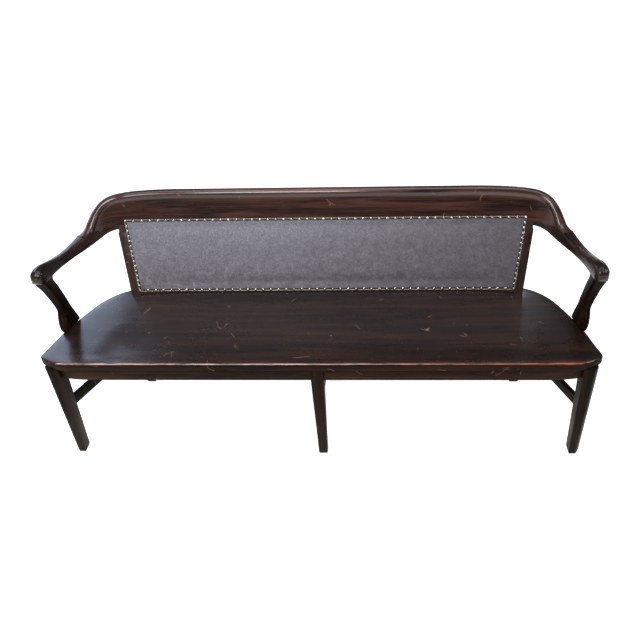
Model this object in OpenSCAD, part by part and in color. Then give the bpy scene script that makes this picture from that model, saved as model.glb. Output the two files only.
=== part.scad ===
// Railroad station bench: a long bow-arm settee with a scooped wooden seat,
// six tapered legs, and a raked back with a nailed leather panel.
// X runs along the bench, the front faces -Y, and Z is up from the floor.

/* [Seat] */
// Length of the seat at its widest, near the front corners
seat_len = 1982; // [1700:1:2400]
// Height of the seat's rim above the floor
seat_h = 457; // [430:1:500]
// Thickness of the seat boards at the rim
seat_t = 33; // [28:0.5:40]
// Depth of the scoop below the rim
dish_d = 8; // [3:0.5:12]
// Width of the flat rim left along the ends of the seat
rim_w = 40; // [30:1:60]
// Length over which the rim falls into the scoop
rim_fall = 80; // [40:1:100]
// Reach of the seat behind the front face of the back
seat_tail = 37; // [34:1:60]
// Radius of the seat's side edges
seat_round = 6; // [3:0.5:8]

/* [Base] */
// Side of a square corner leg at its top
leg_w = 54; // [48:0.5:60]
// Side of a corner leg above the bevel of its foot
leg_foot_w = 42; // [36:0.5:48]
// Distance of the corner legs from the ends of the seat
leg_inset = 13; // [10:0.5:25]
// Flat cut off the outer corner of a corner leg
corner_cut = 17; // [12:0.5:20]
// Side of a centre leg at its top
mid_leg_w = 45; // [40:0.5:54]
// Side of a centre leg at the floor
mid_leg_foot_w = 33; // [28:0.5:38]
// Distance of the rear legs' middle from the seat's front edge
rear_leg_y = 434; // [410:1:440]
// Angle by which the end frames turn inwards towards the back
frame_turn = 22; // [20:0.5:24]
// Height of the rails under the seat
rail_h = 49; // [44:1:65]
// Thickness of the rails
rail_t = 20; // [16:0.5:24]
// Setback of the front rails behind the seat's front edge
rail_set = 9; // [6:0.5:12]
// Distance by which the front rails bow back to their end legs
rail_bend = 13; // [4:0.5:16]
// Length over which they bow back
rail_bow_len = 110; // [60:5:200]
// Reach of the corner blocks along the rails
block_reach = 60; // [40:1:90]
// Height of the stretchers' middle above the floor
stretcher_z = 235; // [180:1:280]
// Height of a stretcher's section
stretcher_h = 37; // [30:1:50]
// Thickness of a stretcher
stretcher_t = 18; // [16:0.5:22]

/* [Back] */
// Angle by which the back leans from upright
back_rake = 24; // [18:0.5:27]
// Distance of the back's front face from the seat's front edge, at the seat
back_y = 455; // [450:1:480]
// Thickness of the back frame and of the crest board
frame_t = 32; // [28:0.5:36]
// Diameter of the roll along the top of the crest
roll_d = 42; // [38:0.5:48]
// Height of the roll's middle above the joint between arms and crest
crest_rise = 92; // [80:1:120]
// Distance by which the ends of the back come forward
back_sweep = 17; // [10:1:22]
// Distance of the stiles from the ends of the seat, at the seat
stile_inset = 208; // [196:1:291]
// Outward run of the stiles for each unit of height
stile_splay = 0.133; // [0.1:0.005:0.2]
// Width of a stile
stile_w = 60; // [52:1:68]
// Height of the bottom rail of the back
back_rail_h = 52; // [40:1:70]
// Width of the middle stile behind the panel
mid_stile_w = 56; // [40:1:80]

/* [Panel] */
// Thickness of the board behind the padding
board_t = 6; // [4:0.5:8]
// Swell of the padding in front of the frame
pad_crown = 9; // [4:0.5:16]
// Thickness of the leather
leather_t = 1.8; // [1.2:0.1:2.5]
// Width of the folded strip along the leather's edge
strip_w = 9; // [7:0.5:12]
// Diameter of a nail's head
nail_d = 11.5; // [9:0.5:13]
// Spacing of the nails along the top and the bottom
nail_pitch = 31; // [24:0.5:40]
// Spacing of the nails along the sides
nail_pitch_side = 19; // [14:0.5:30]

/* [Arms] */
// Height of the joint between arms and crest above the floor
arm_top_z = 712; // [700:1:750]
// Thickness of the arms where the crest lies on them
arm_t = 27; // [26:0.5:36]
// Distance of the hand ends' middles from the ends of the seat
arm_inset = 20; // [6:1:51]
// Width of the arm's hand end
arm_w = 47; // [42:0.5:52]
// Distance of the arms' front tips from the seat's front edge
arm_tip_y = 150; // [130:1:170]
// Distance of the arm post's foot from the seat's front edge
post_foot_y = 184; // [175:1:195]
// Depth of the arm post's foot, front to back
post_foot_d = 97; // [85:1:105]

/* [Hidden] */
$fn = 48;

// Fits shared by every joint
joint_gap = 0.15;
overrun = 5;
reach_far = 3000;

// Places worked out from the driving sizes
half_len = seat_len / 2;
arm_x = half_len - arm_inset;
stile_x = half_len - stile_inset;
seat_d = back_y + seat_tail;
seat_z0 = seat_h - seat_t;
rail_z0 = seat_z0 - rail_h;
arm_z0 = arm_top_z - arm_t;
back_mid_y = back_y + (arm_top_z - seat_h) * tan(back_rake) + frame_t / 2 / cos(back_rake);
roll_y = back_mid_y + crest_rise * tan(back_rake);
depth = roll_y + roll_d / 2;

// Colours
dark_wood = [0.16, 0.09, 0.07];
base_wood = [0.20, 0.13, 0.09];
inner_wood = [0.55, 0.42, 0.28];
leather_grey = [0.33, 0.31, 0.34];
strip_tan = [0.62, 0.56, 0.48];
nail_brass = [0.55, 0.50, 0.42];

// The seat's front edge starts at y = 0; the whole bench is centred on its box
module in_place() { translate([0, -depth / 2, 0]) children(); }
module both_sides() { children(); mirror([1, 0, 0]) children(); }
module side(s) { if (s > 0) children(); else mirror([1, 0, 0]) children(); }

// A solid through closed rings of equal count, each drawn counterclockwise
// as seen along the direction in which the rings follow each other
module loft(rings) {
    n = len(rings[0]);
    m = len(rings);
    walls = [for (i = [0:m - 2], j = [0:n - 1])
        let (a = i * n + j, b = i * n + (j + 1) % n) each [[a, b, b + n], [a, b + n, a + n]]];
    first = [for (j = [n - 1:-1:0]) j];
    last = [for (j = [0:n - 1]) (m - 1) * n + j];
    polyhedron([for (r = rings) each r], concat(walls, [first], [last]), convexity = 6);
}

// Smooth value between the rows of a table, at u rows from its start
function row_at(rows, i) = rows[min(max(i, 0), len(rows) - 1)];
function smooth_row(rows, u) =
    let (i = min(floor(u), len(rows) - 2), f = u - i,
         a = row_at(rows, i - 1), b = row_at(rows, i), c = row_at(rows, i + 1), d = row_at(rows, i + 2))
    b + f / 2 * (c - a + f * (2 * a - 5 * b + 4 * c - d + f * (3 * (b - c) + d - a)));

// Smooth value at x in a table of [x, value] rows of any spacing, without overshoot
function row_slope(rows, i) = (rows[i + 1][1] - rows[i][1]) / (rows[i + 1][0] - rows[i][0]);
function row_tangent(rows, i) =
    i == 0 ? row_slope(rows, 0) : i == len(rows) - 1 ? row_slope(rows, i - 1) :
    let (a = row_slope(rows, i - 1), b = row_slope(rows, i)) a * b <= 0 ? 0 : 2 * a * b / (a + b);
function smooth_lookup(x, rows) =
    let (i = max(0, min(len(rows) - 2, len([for (r = rows) if (r[0] <= x) r]) - 1)),
         h = rows[i + 1][0] - rows[i][0], f = max(0, min(1, (x - rows[i][0]) / h)), g = 1 - f)
    rows[i][1] * g * g * (1 + 2 * f) + rows[i + 1][1] * f * f * (1 + 2 * g)
    + h * f * g * (row_tangent(rows, i) * g - row_tangent(rows, i + 1) * f);

// SEAT: four boards glued edge to edge, scooped out inside a flat rim
// Half length along the seat's edge, as shares: depth, half length
seat_edge_shares = [[0, 0.888], [0.0012, 0.897], [0.004, 0.913], [0.010, 0.929], [0.020, 0.945],
    [0.037, 0.963], [0.055, 0.980], [0.075, 0.994], [0.095, 1], [0.12, 0.999], [0.19, 0.991], [0.27, 0.983],
    [0.35, 0.975], [0.455, 0.961], [0.56, 0.942], [0.67, 0.921], [0.78, 0.896], [0.86, 0.867],
    [0.92, 0.834], [0.945, 0.814], [0.965, 0.792], [0.983, 0.760], [1, 0.70]];
// Depth of the scoop along the seat, as shares: depth, scoop
dish_shares = [[0, 0.25], [0.05, 0.4], [0.15, 0.7], [0.35, 1], [0.6, 1], [0.75, 0.75],
    [0.84, 0.35], [0.89, 0.08], [0.92, 0], [1, 0]];
// Fall of the rim into the scoop, as shares: run, drop
fall_shares = [[0, 0], [0.25, 0.12], [0.5, 0.5], [0.75, 0.88], [1, 1]];
board_cuts = 4;
seat_step = 22;
seat_rows = concat([for (i = [0:len(seat_edge_shares) - 2])
    let (a = seat_edge_shares[i][0] * seat_d, b = seat_edge_shares[i + 1][0] * seat_d,
         n = ceil((b - a) / seat_step))
    each [for (k = [0:n - 1]) a + (b - a) * k / n]], [seat_d]);

function seat_half(y) = half_len * smooth_lookup(y / seat_d, seat_edge_shares);
function seat_slope(y) = (seat_half(y + 1) - seat_half(y - 1)) / 2;
function front_round(y) =
    y < seat_round ? seat_round - sqrt(pow(seat_round, 2) - pow(seat_round - y, 2)) : 0;
// Where the seat's edge runs slantwise, its rounding and rim are widened, up to these shares
round_widen_share = 2.5;
rim_widen_share = 1.5;
function seat_half_ring(y) =
    let (w = seat_half(y), k = min(norm([1, seat_slope(y)]), round_widen_share), r = seat_round,
         top = seat_h - front_round(y), dish = dish_d * smooth_lookup(y / seat_d, dish_shares),
         low = seat_z0 + front_round(y) / 2,
         rim = w - rim_w * min(k, rim_widen_share))
    concat([[w - r * k, low], [w - 0.3 * r * k, low + 0.3 * r], [w, low + r], [w, top - r],
            [w - 0.3 * r * k, top - 0.3 * r], [w - r * k, top]],
           [for (f = fall_shares) [rim - rim_fall * f[0], top - dish * f[1]]]);
function seat_ring(y) =
    let (h = seat_half_ring(y), n = len(h))
    concat([for (p = h) [p[0], y, p[1]]], [for (i = [n - 1:-1:0]) [-h[i][0], y, h[i][1]]]);

// One board: cut lines at equal steps of the seat's depth
module seat_board(i) {
    y0 = seat_d * i / board_cuts;
    y1 = seat_d * (i + 1) / board_cuts;
    ys = [for (y = seat_rows) if (y > y0 + 0.5 && y < y1 - 0.5) y];
    loft([for (y = concat([y0], ys, [y1])) seat_ring(y)]);
}
module seat_board_front() { in_place() color(dark_wood) seat_board(0); }
module seat_board_mid_front() {
    in_place() color(dark_wood) difference() {
        seat_board(1);
        post_dowel_holes();
    }
}
module seat_board_mid_rear() {
    in_place() color(dark_wood) difference() {
        seat_board(2);
        post_dowel_holes();
    }
}
module seat_board_rear() {
    in_place() color(dark_wood) difference() {
        seat_board(3);
        stile_dowel_holes();
    }
}

// BASE: six tapered legs, with rails under the seat and stretchers between front and rear legs
foot_bevel = 5;
foot_bevel_h = 12;
tenon_len = 18;
tenon_t = 9;
tenon_shoulder = 7;
leg_front_y = 6;
leg_out_x = half_len - leg_inset;
leg_mid_x = leg_out_x - leg_w / 2;
leg_mid_y = leg_front_y + leg_w / 2;
frame_run = rear_leg_y - leg_mid_y;
rear_leg_x = leg_mid_x - frame_run * tan(frame_turn);
frame_len = frame_run / cos(frame_turn);

// Axes of an end frame: from the front leg's middle, y runs back to the rear leg's middle
module end_frame_axes() { translate([leg_mid_x, leg_mid_y, 0]) rotate([0, 0, frame_turn]) children(); }

// Side view of a leg: straight outside, tapered inside below the rails, bevelled at the foot
module leg_profile(w, foot_w) {
    polygon([[-foot_bevel, 0], [0, foot_bevel_h], [0, seat_z0], [-w, seat_z0], [-w, rail_z0],
             [-foot_w, foot_bevel_h], [foot_bevel - foot_w, 0]]);
}
// A corner leg, its outer corner at the origin and cut off to follow the seat
module corner_leg_blank() {
    difference() {
        intersection() {
            translate([0, leg_w, 0]) rotate([90, 0, 0]) linear_extrude(leg_w)
                leg_profile(leg_w, leg_foot_w);
            translate([-leg_w, 0, 0]) rotate([90, 0, 90]) linear_extrude(leg_w) mirror([1, 0, 0])
                leg_profile(leg_w, leg_foot_w);
        }
        translate([0, 0, -overrun]) linear_extrude(seat_h) polygon([[-corner_cut, 0],
            [-corner_cut, -overrun], [overrun, -overrun], [overrun, corner_cut_side], [0, corner_cut_side]]);
    }
}
corner_cut_side = corner_cut * 1.2;
module front_leg_blank() { translate([leg_out_x, leg_front_y, 0]) corner_leg_blank(); }
module rear_leg_blank() {
    translate([rear_leg_x + leg_w / 2, rear_leg_y + leg_w / 2, 0]) mirror([0, 1, 0]) corner_leg_blank();
}
// A centre leg, tapered on both sides and on the face that looks under the seat
module mid_leg_blank() {
    w = mid_leg_w;
    f = mid_leg_foot_w;
    intersection() {
        translate([0, w, 0]) rotate([90, 0, 0]) linear_extrude(w) polygon([
            [mid_bevel - f / 2, 0], [f / 2 - mid_bevel, 0], [f / 2, mid_bevel], [w / 2, rail_z0],
            [w / 2, seat_z0], [-w / 2, seat_z0], [-w / 2, rail_z0], [-f / 2, mid_bevel]]);
        translate([-w / 2, 0, 0]) rotate([90, 0, 90]) linear_extrude(w) mirror([1, 0, 0]) leg_profile(w, f);
    }
}
mid_bevel = 2;
mid_leg_y = 3;
rear_rail_y = rear_leg_y - rail_t / 2;
rear_mid_leg_y = rear_rail_y + rail_t + mid_leg_w / 2;
module front_mid_leg_blank() { translate([0, mid_leg_y, 0]) mid_leg_blank(); }
module rear_mid_leg_blank() { translate([0, rear_mid_leg_y, 0]) mirror([0, 1, 0]) mid_leg_blank(); }

// Tongues of the rails and stretchers, grown by gap where they cut their mortises
tongue_h = rail_h - 2 * tenon_shoulder;
module tongue(x0, x1, y, gap) {
    translate([x0 - gap, y - tenon_t / 2 - gap, rail_mid_z - tongue_h / 2 - gap])
        cube([x1 - x0 + 2 * gap, tenon_t + 2 * gap, tongue_h + 2 * gap]);
}
// Lengthwise tongue of an end frame, its ends set into both legs
module frame_tongue(h, z, gap) {
    s = leg_w / 2 / cos(frame_turn) - tenon_len;
    translate([-tenon_t / 2 - gap, s - gap, z - h / 2 - gap])
        cube([tenon_t + 2 * gap, frame_len - 2 * s + 2 * gap, h + 2 * gap]);
}
rail_mid_z = rail_z0 + rail_h / 2;
stretcher_tongue_h = stretcher_h - 2 * tenon_shoulder;
module side_rail_tongue(gap) { end_frame_axes() frame_tongue(tongue_h, rail_mid_z, gap); }
module stretcher_tongue(gap) { end_frame_axes() frame_tongue(stretcher_tongue_h, stretcher_z, gap); }
module mid_stretcher_tongue(gap) {
    y0 = mid_leg_y + mid_leg_foot_w - tenon_len;
    y1 = rear_mid_leg_y - mid_leg_foot_w + tenon_len;
    translate([-tenon_t / 2 - gap, y0 - gap, stretcher_z - stretcher_tongue_h / 2 - gap])
        cube([tenon_t + 2 * gap, y1 - y0 + 2 * gap, stretcher_tongue_h + 2 * gap]);
}
module mid_rail_tongue(y, gap) {
    tongue(mid_leg_w / 2 - tenon_len, mid_leg_w / 2 + overrun, y + rail_t / 2, gap);
}
module front_rail_tongue(gap) {
    tongue(rail_end_x - overrun, rail_end_x + tenon_len, rail_set + rail_bend + rail_t / 2, gap);
}
module rear_rail_tongue(gap) {
    x = rear_leg_x - leg_w / 2;
    tongue(x - overrun, x + tenon_len, rear_rail_y + rail_t / 2, gap);
}
module front_leg_body() {
    difference() {
        front_leg_blank();
        front_rail_tongue(joint_gap);
        side_rail_tongue(joint_gap);
        stretcher_tongue(joint_gap);
    }
}
module rear_leg_body() {
    difference() {
        rear_leg_blank();
        rear_rail_tongue(joint_gap);
        side_rail_tongue(joint_gap);
        stretcher_tongue(joint_gap);
    }
}
// A straight piece of an end frame from leg to leg, with its tongues
module frame_piece(t, h, z) {
    difference() {
        end_frame_axes() translate([-t / 2, 0, z - h / 2]) cube([t, frame_len, h]);
        front_leg_blank();
        rear_leg_blank();
    }
}
module side_rail_body() {
    union() {
        frame_piece(rail_t, rail_h, rail_mid_z);
        side_rail_tongue(0);
    }
}
module stretcher_body() {
    union() {
        frame_piece(stretcher_t, stretcher_h, stretcher_z);
        stretcher_tongue(0);
    }
}
module front_leg_centre() {
    in_place() color(base_wood) difference() {
        front_mid_leg_blank();
        both_sides() mid_rail_tongue(rail_set, joint_gap);
        mid_stretcher_tongue(joint_gap);
    }
}
module rear_leg_centre() {
    in_place() color(base_wood) difference() {
        rear_mid_leg_blank();
        both_sides() mid_rail_tongue(rear_rail_y, joint_gap);
        mid_stretcher_tongue(joint_gap);
    }
}
module stretcher_centre() {
    in_place() color(base_wood) union() {
        difference() {
            translate([-stretcher_t / 2, mid_leg_y + mid_leg_foot_w, stretcher_z - stretcher_h / 2])
                cube([stretcher_t, rear_mid_leg_y - mid_leg_y - 2 * mid_leg_foot_w, stretcher_h]);
            front_mid_leg_blank();
            rear_mid_leg_blank();
        }
        mid_stretcher_tongue(0);
    }
}

// Front rail: straight, then bowed back a little to its end leg
rail_end_x = leg_out_x - leg_w;
rail_bow_x = rail_end_x - rail_bow_len;
rail_steps = 8;
rail_bow = [for (i = [0:rail_steps]) let (f = i / rail_steps)
    [rail_bow_x + rail_bow_len * f, rail_set + rail_bend * f * f]];
module front_rail_blank() {
    translate([0, 0, rail_z0]) linear_extrude(rail_h) polygon(concat(
        [[mid_leg_w / 2, rail_set]], rail_bow,
        [for (i = [rail_steps:-1:0]) rail_bow[i] + [0, rail_t]], [[mid_leg_w / 2, rail_set + rail_t]]));
}
module front_rail_body() {
    union() {
        front_rail_blank();
        mid_rail_tongue(rail_set, 0);
        front_rail_tongue(0);
    }
}
module rear_rail_body() {
    union() {
        translate([mid_leg_w / 2, rear_rail_y, rail_z0])
            cube([rear_leg_x - leg_w / 2 - mid_leg_w / 2, rail_t, rail_h]);
        mid_rail_tongue(rear_rail_y, 0);
        rear_rail_tongue(0);
    }
}
module front_leg_right() { in_place() color(base_wood) front_leg_body(); }
module front_leg_left() { in_place() color(base_wood) side(-1) front_leg_body(); }
module rear_leg_right() { in_place() color(base_wood) rear_leg_body(); }
module rear_leg_left() { in_place() color(base_wood) side(-1) rear_leg_body(); }
module side_rail_right() { in_place() color(base_wood) side_rail_body(); }
module side_rail_left() { in_place() color(base_wood) side(-1) side_rail_body(); }
module stretcher_right() { in_place() color(base_wood) stretcher_body(); }
module stretcher_left() { in_place() color(base_wood) side(-1) stretcher_body(); }
module front_rail_right() { in_place() color(base_wood) front_rail_body(); }
module front_rail_left() { in_place() color(base_wood) side(-1) front_rail_body(); }
module rear_rail_right() { in_place() color(base_wood) rear_rail_body(); }
module rear_rail_left() { in_place() color(base_wood) side(-1) rear_rail_body(); }

// Diagonal blocks in the corners behind the front legs, between front rail and side rail
block_h = 30;
module corner_blocks() {
    back = leg_w / 2 + block_reach;
    front_y = rail_set + rail_bend + rail_t / 2;
    in_place() color(inner_wood) both_sides() difference() {
        translate([0, 0, seat_z0 - block_h]) linear_extrude(block_h) polygon([
            [rail_end_x - block_reach, front_y], [leg_mid_x, front_y], [leg_mid_x, leg_mid_y],
            [leg_mid_x - back * tan(frame_turn), leg_mid_y + back]]);
        front_rail_blank();
        front_leg_blank();
        end_frame_axes() translate([-rail_t / 2, 0, 0]) cube([2 * rail_t, frame_len, seat_h]);
    }
}

// Glue blocks in the angle between the long rails and the seat
glue_block = 20;
glue_block_len = 70;
glue_block_steps = 4;
module glue_blocks() {
    in_place() color(inner_wood) both_sides() for (i = [1:glue_block_steps - 1])
        translate([i * rear_leg_x / glue_block_steps - glue_block_len / 2, 0, seat_z0 - glue_block])
            for (y = [rail_set + rail_t, rear_rail_y - glue_block]) translate([0, y, 0])
                cube([glue_block_len, glue_block, glue_block]);
}

// BACK: the bow runs along the crest, round its ends and forward along the arms.
// Its middle line in plan, right half, as shares: run outwards, run forwards, lean of the crest,
// half width, lean of the arm's sides
bow_start_share = 0.5755;
bow_reach = back_mid_y - arm_tip_y;
function bow_sag(x) = back_sweep * pow(max(0, (x / arm_x - bow_start_share) / 0.2215), 2);
bow_shares = [
    [0.5755, 0, 1, 0.681, 1], [0.668, 0.0068, 1, 0.681, 1], [0.740, 0.0215, 1, 0.681, 1],
    [0.797, 0.039, 1, 0.681, 1], [0.840, 0.052, 1, 0.68, 1], [0.874, 0.080, 0.96, 0.66, 0.97],
    [0.901, 0.123, 0.84, 0.67, 0.93], [0.922, 0.178, 0.64, 0.73, 0.90], [0.938, 0.240, 0.42, 0.80, 0.90],
    [0.950, 0.312, 0.20, 0.86, 0.88], [0.961, 0.404, 0.08, 0.83, 0.74], [0.972, 0.518, 0, 0.82, 0.36],
    [0.982, 0.645, 0, 0.82, 0.14], [0.990, 0.771, 0, 0.88, 0], [0.997, 0.874, 0, 0.97, 0],
    [1, 0.945, 0, 0.99, 0], [1, 0.974, 0, 0.90, 0], [1, 0.991, 0, 0.72, 0], [1, 1, 0, 0.45, 0]];
crest_lean = 2;
arm_lean = 4;
bow_flat_rows = 3;
bow_rows = [for (i = [0:len(bow_shares) - 1]) let (r = bow_shares[i])
    [r[0], i <= bow_flat_rows ? bow_sag(r[0] * arm_x) / bow_reach : r[1], r[2], r[3], r[4]]];
function bow_at(u) = smooth_row(bow_rows, u);
function bow_pt(u) =
    let (b = bow_at(u), x = b[0] * arm_x)
    [x, back_mid_y - (u <= bow_flat_rows ? bow_sag(x) : b[1] * bow_reach)];
function bow_dir(u) =
    let (d = bow_pt(u + 0.01) - bow_pt(u - 0.01)) u < 0.01 ? [1, 0] : u > 17.9 ? [0, -1] : d / norm(d);
// Place of a point in the bow's section: across the bow, and up from the joint
function bow_place(u, across, z, column = crest_lean) =
    let (p = bow_pt(u), d = bow_dir(u), lean = back_rake * bow_at(u)[column],
         out = across / cos(lean) + z * tan(lean))
    [p[0] - d[1] * out, p[1] + d[0] * out, arm_top_z + z];
function bow_half_w(u) =
    let (f = max(0, min(1, bow_flat_rows + 1 - u))) f * frame_t / 2 + (1 - f) * bow_at(u)[3] * arm_w / 2;

// Crest: a leaning board with a roll along its top, feathered out onto the arms.
// Height of the roll's top above the joint along the bow, as shares of its full height
crest_top_shares = [1, 1, 0.995, 0.975, 0.925, 0.81, 0.61, 0.375, 0.15, 0.035, -0.1];
crest_tip_u = 9;
feather = 1.5;
roll_steps = 12;
function crest_ring(u) =
    let (lean = back_rake * bow_at(u)[2], hw = bow_half_w(u),
         top = smooth_row(crest_top_shares, u) * (crest_rise + roll_d / 2),
         up = min(roll_d / 2, top - feather), mid = top - up,
         ra = max(roll_d / 2, hw + 0.01), a0 = -acos(hw / ra))
    concat([bow_place(u, -hw, 0)],
        [for (i = [0:roll_steps])
            let (a = 180 - a0 - i * (180 - 2 * a0) / roll_steps,
                 t = ra * cos(a), s = up * sin(a), z = mid + s * cos(lean) - t * sin(lean))
            bow_place_rolled(u, t, s, mid, lean, feather)],
        [bow_place(u, hw, 0)]);
// A point of the roll: t across and s up in the leaning section, kept above the feathered edge
function bow_place_rolled(u, t, s, mid, lean, low) =
    let (p = bow_pt(u), d = bow_dir(u), out = mid * tan(lean) + t * cos(lean) + s * sin(lean),
         z = max(low, mid + s * cos(lean) - t * sin(lean)))
    [p[0] - d[1] * out, p[1] + d[0] * out, arm_top_z + z];
crest_us = [for (i = [0:2 * crest_tip_u]) i / 2];
module crest_blank() {
    right = [for (u = crest_us) crest_ring(u)];
    left = [for (i = [len(right) - 1:-1:0]) flip_x(right[i])];
    loft(concat(left, right));
}
function flip_x(ring) = [for (p = ring) [-p[0], p[1], p[2]]];
module crest() { in_place() color(dark_wood) difference() { crest_blank(); crest_dowel_holes(); } }

// Arms: sawn in one piece with a raised, rounded hand end.
// Height of the top and of the underside along the bow, as shares of the arm's thickness
arm_start_u = 4;
arm_top_shares = [0, 0, 0, 0, 0, 0, 0, 0, 0, 0, -0.10, -0.16, 0, 0.48, 0.90, 0.86, 0.62, 0.35, 0.05];
arm_low_shares = [-0.5, -0.5, -0.5, -0.5, -0.53, -0.68, -0.90, -1.12, -1.2, -1.24, -1.25, -1.22, -1.12,
    -1, -1, -1, -0.94, -0.80, -0.55];
arm_round_shares = [0.01, 0.01, 0.01, 0.01, 0.01, 0.01, 0.01, 0.01, 0.01, 0.12, 0.28, 0.35, 0.38,
    0.45, 0.45, 0.45, 0.45, 0.4, 0.3];
arm_crown = 2;
arm_under_round = 3;
// Rows between which the underside is flat, to sit on the post
post_seat_from_u = 13;
post_seat_to_u = 15;
function arm_ring(u) =
    let (hw = bow_half_w(u), top = smooth_row(arm_top_shares, u) * arm_t,
         low = (u > post_seat_from_u && u < post_seat_to_u ? -1 : smooth_row(arm_low_shares, u)) * arm_t,
         r = max(0.3, smooth_row(arm_round_shares, u) * hw), q = min(arm_under_round, r),
         c = u < crest_tip_u ? 0 : arm_crown)
    [for (p = [[-hw, low + q], [-hw, top - r], [0.3 * r - hw, top - 0.3 * r], [r - hw, top], [0, top + c],
               [hw - r, top], [hw - 0.3 * r, top - 0.3 * r], [hw, top - r], [hw, low + q],
               [hw - 0.3 * q, low + 0.3 * q], [hw - q, low], [q - hw, low], [0.3 * q - hw, low + 0.3 * q]])
        bow_place(u, p[0], p[1], arm_lean)];
module arm_blank() { loft([for (i = [2 * arm_start_u:2 * (len(bow_shares) - 1)]) arm_ring(i / 2)]); }
module arm_right_body() {
    difference() {
        arm_blank();
        crest_dowel_holes();
        post_dowel_holes();
        stile_dowel_holes();
    }
}
module arm_right() { in_place() color(dark_wood) arm_right_body(); }
module arm_left() { in_place() color(dark_wood) side(-1) arm_right_body(); }

// Top rail of the back, between the rear ends of the arms
function rail_ring(u) =
    [for (p = [[-1, -1], [-1, 0], [1, 0], [1, -1]]) bow_place(u, p[0] * bow_half_w(u), p[1] * arm_t)];
module back_rail_top_blank() {
    right = [for (i = [0:2 * arm_start_u]) rail_ring(i / 2)];
    left = [for (i = [len(right) - 1:-1:0]) flip_x(right[i])];
    loft(concat(left, right));
}
module back_rail_top() {
    in_place() color(dark_wood) difference() {
        back_rail_top_blank();
        panel_recess(rebate_w);
        crest_dowel_holes();
        mid_stile_tenon_top(joint_gap);
    }
}

// The back frame's own axes: X along the bench, Y through it, Z up its leaning face
module on_rake() { translate([0, back_y, seat_h]) rotate([-back_rake, 0, 0]) children(); }
// A bowed sheet from depth t0 to depth t1 behind the leaning face
band_steps = 8;
band_flat_over = 5;
band_x = stile_x + (arm_z0 - seat_h) * stile_splay + overrun;
function band_line(t) =
    let (x0 = bow_start_share * arm_x + band_flat_over,
         xs = [for (i = [0:band_steps]) x0 + (band_x - x0) * i / band_steps])
    concat([for (i = [band_steps:-1:0]) [-xs[i], t - bow_sag(xs[i]) * cos(back_rake)]],
           [for (x = xs) [x, t - bow_sag(x) * cos(back_rake)]]);
module band(t0, t1) {
    back = band_line(t1);
    translate([0, 0, -frame_t]) linear_extrude(crest_rise + arm_top_z - seat_h + 2 * frame_t)
        polygon(concat(band_line(t0), [for (i = [len(back) - 1:-1:0]) back[i]]));
}
// What an outline in the leaning face keeps of the band
module from_band(t0, t1) {
    intersection() {
        band(t0, t1);
        translate([0, reach_far / 2, 0]) rotate([90, 0, 0]) linear_extrude(reach_far) children();
    }
}
module between_z(z0, z1) {
    intersection() {
        children();
        translate([-reach_far / 2, 0, z0]) cube([reach_far, reach_far, z1 - z0]);
    }
}
splay_s = stile_splay * cos(back_rake);
face_h = (arm_z0 - seat_h) / cos(back_rake) + frame_t;
function stile_in(s) = stile_x - stile_w + splay_s * s;
function stile_out(s) = stile_x + splay_s * s;

module stile_right_body() {
    difference() {
        between_z(seat_h, arm_z0) on_rake() from_band(0, frame_t) polygon([
            [stile_in(-frame_t), -frame_t], [stile_out(-frame_t), -frame_t],
            [stile_out(face_h), face_h], [stile_in(face_h), face_h]]);
        panel_recess(rebate_w);
        back_rail_tenons(joint_gap);
        stile_dowel_holes();
    }
}
module stile_right() { in_place() color(dark_wood) stile_right_body(); }
module stile_left() { in_place() color(dark_wood) side(-1) stile_right_body(); }

// Bottom rail, bevelled to stand on the seat, tenoned into the stiles
module back_rail_tenons(gap) {
    x0 = stile_in(tenon_low) - overrun;
    x1 = stile_in(tenon_low) + tenon_len + gap;
    on_rake() from_band(frame_t - tenon_back - tenon_t - gap, frame_t - tenon_back + gap)
        for (m = [0, 1]) mirror([m, 0]) translate([x0, tenon_low - gap])
            square([x1 - x0, tenon_high - tenon_low + 2 * gap]);
}
tenon_back = 7;
tenon_low = 18;
tenon_high = back_rail_h - tenon_shoulder;
module back_rail_bottom() {
    in_place() color(dark_wood) difference() {
        union() {
            between_z(seat_h, arm_z0) on_rake() from_band(0, frame_t) polygon([
                [-stile_in(-frame_t), -frame_t], [stile_in(-frame_t), -frame_t],
                [stile_in(back_rail_h), back_rail_h], [-stile_in(back_rail_h), back_rail_h]]);
            back_rail_tenons(0);
        }
        panel_recess(rebate_w);
        mid_stile_tenon_low(joint_gap);
        stile_dowel_holes();
    }
}
// Middle stile, behind the backing board, tenoned into both rails
module mid_stile_tenon_low(gap) {
    on_rake() from_band(frame_t - tenon_back - tenon_t - gap, frame_t - tenon_back + gap)
        translate([-mid_stile_w / 2 + tenon_shoulder - gap, back_rail_h - tenon_len - gap])
            square([mid_stile_w - 2 * tenon_shoulder + 2 * gap, tenon_len + overrun]);
}
module mid_stile_tenon_top(gap) {
    w = mid_stile_w - 2 * tenon_shoulder + 2 * gap;
    translate([-w / 2, back_mid_y - arm_t * tan(back_rake) / 2 - gap, arm_z0 - overrun])
        cube([w, tenon_t + 2 * gap, overrun + tenon_len - tenon_shoulder + gap]);
}
module middle_stile() {
    in_place() color(dark_wood) {
        difference() {
            between_z(seat_h, arm_z0) on_rake() from_band(board_back, frame_t)
                translate([-mid_stile_w / 2, back_rail_h]) square([mid_stile_w, face_h]);
            mid_stile_tenon_low(joint_gap);
        }
        mid_stile_tenon_low(0);
        mid_stile_tenon_top(0);
    }
}

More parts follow.
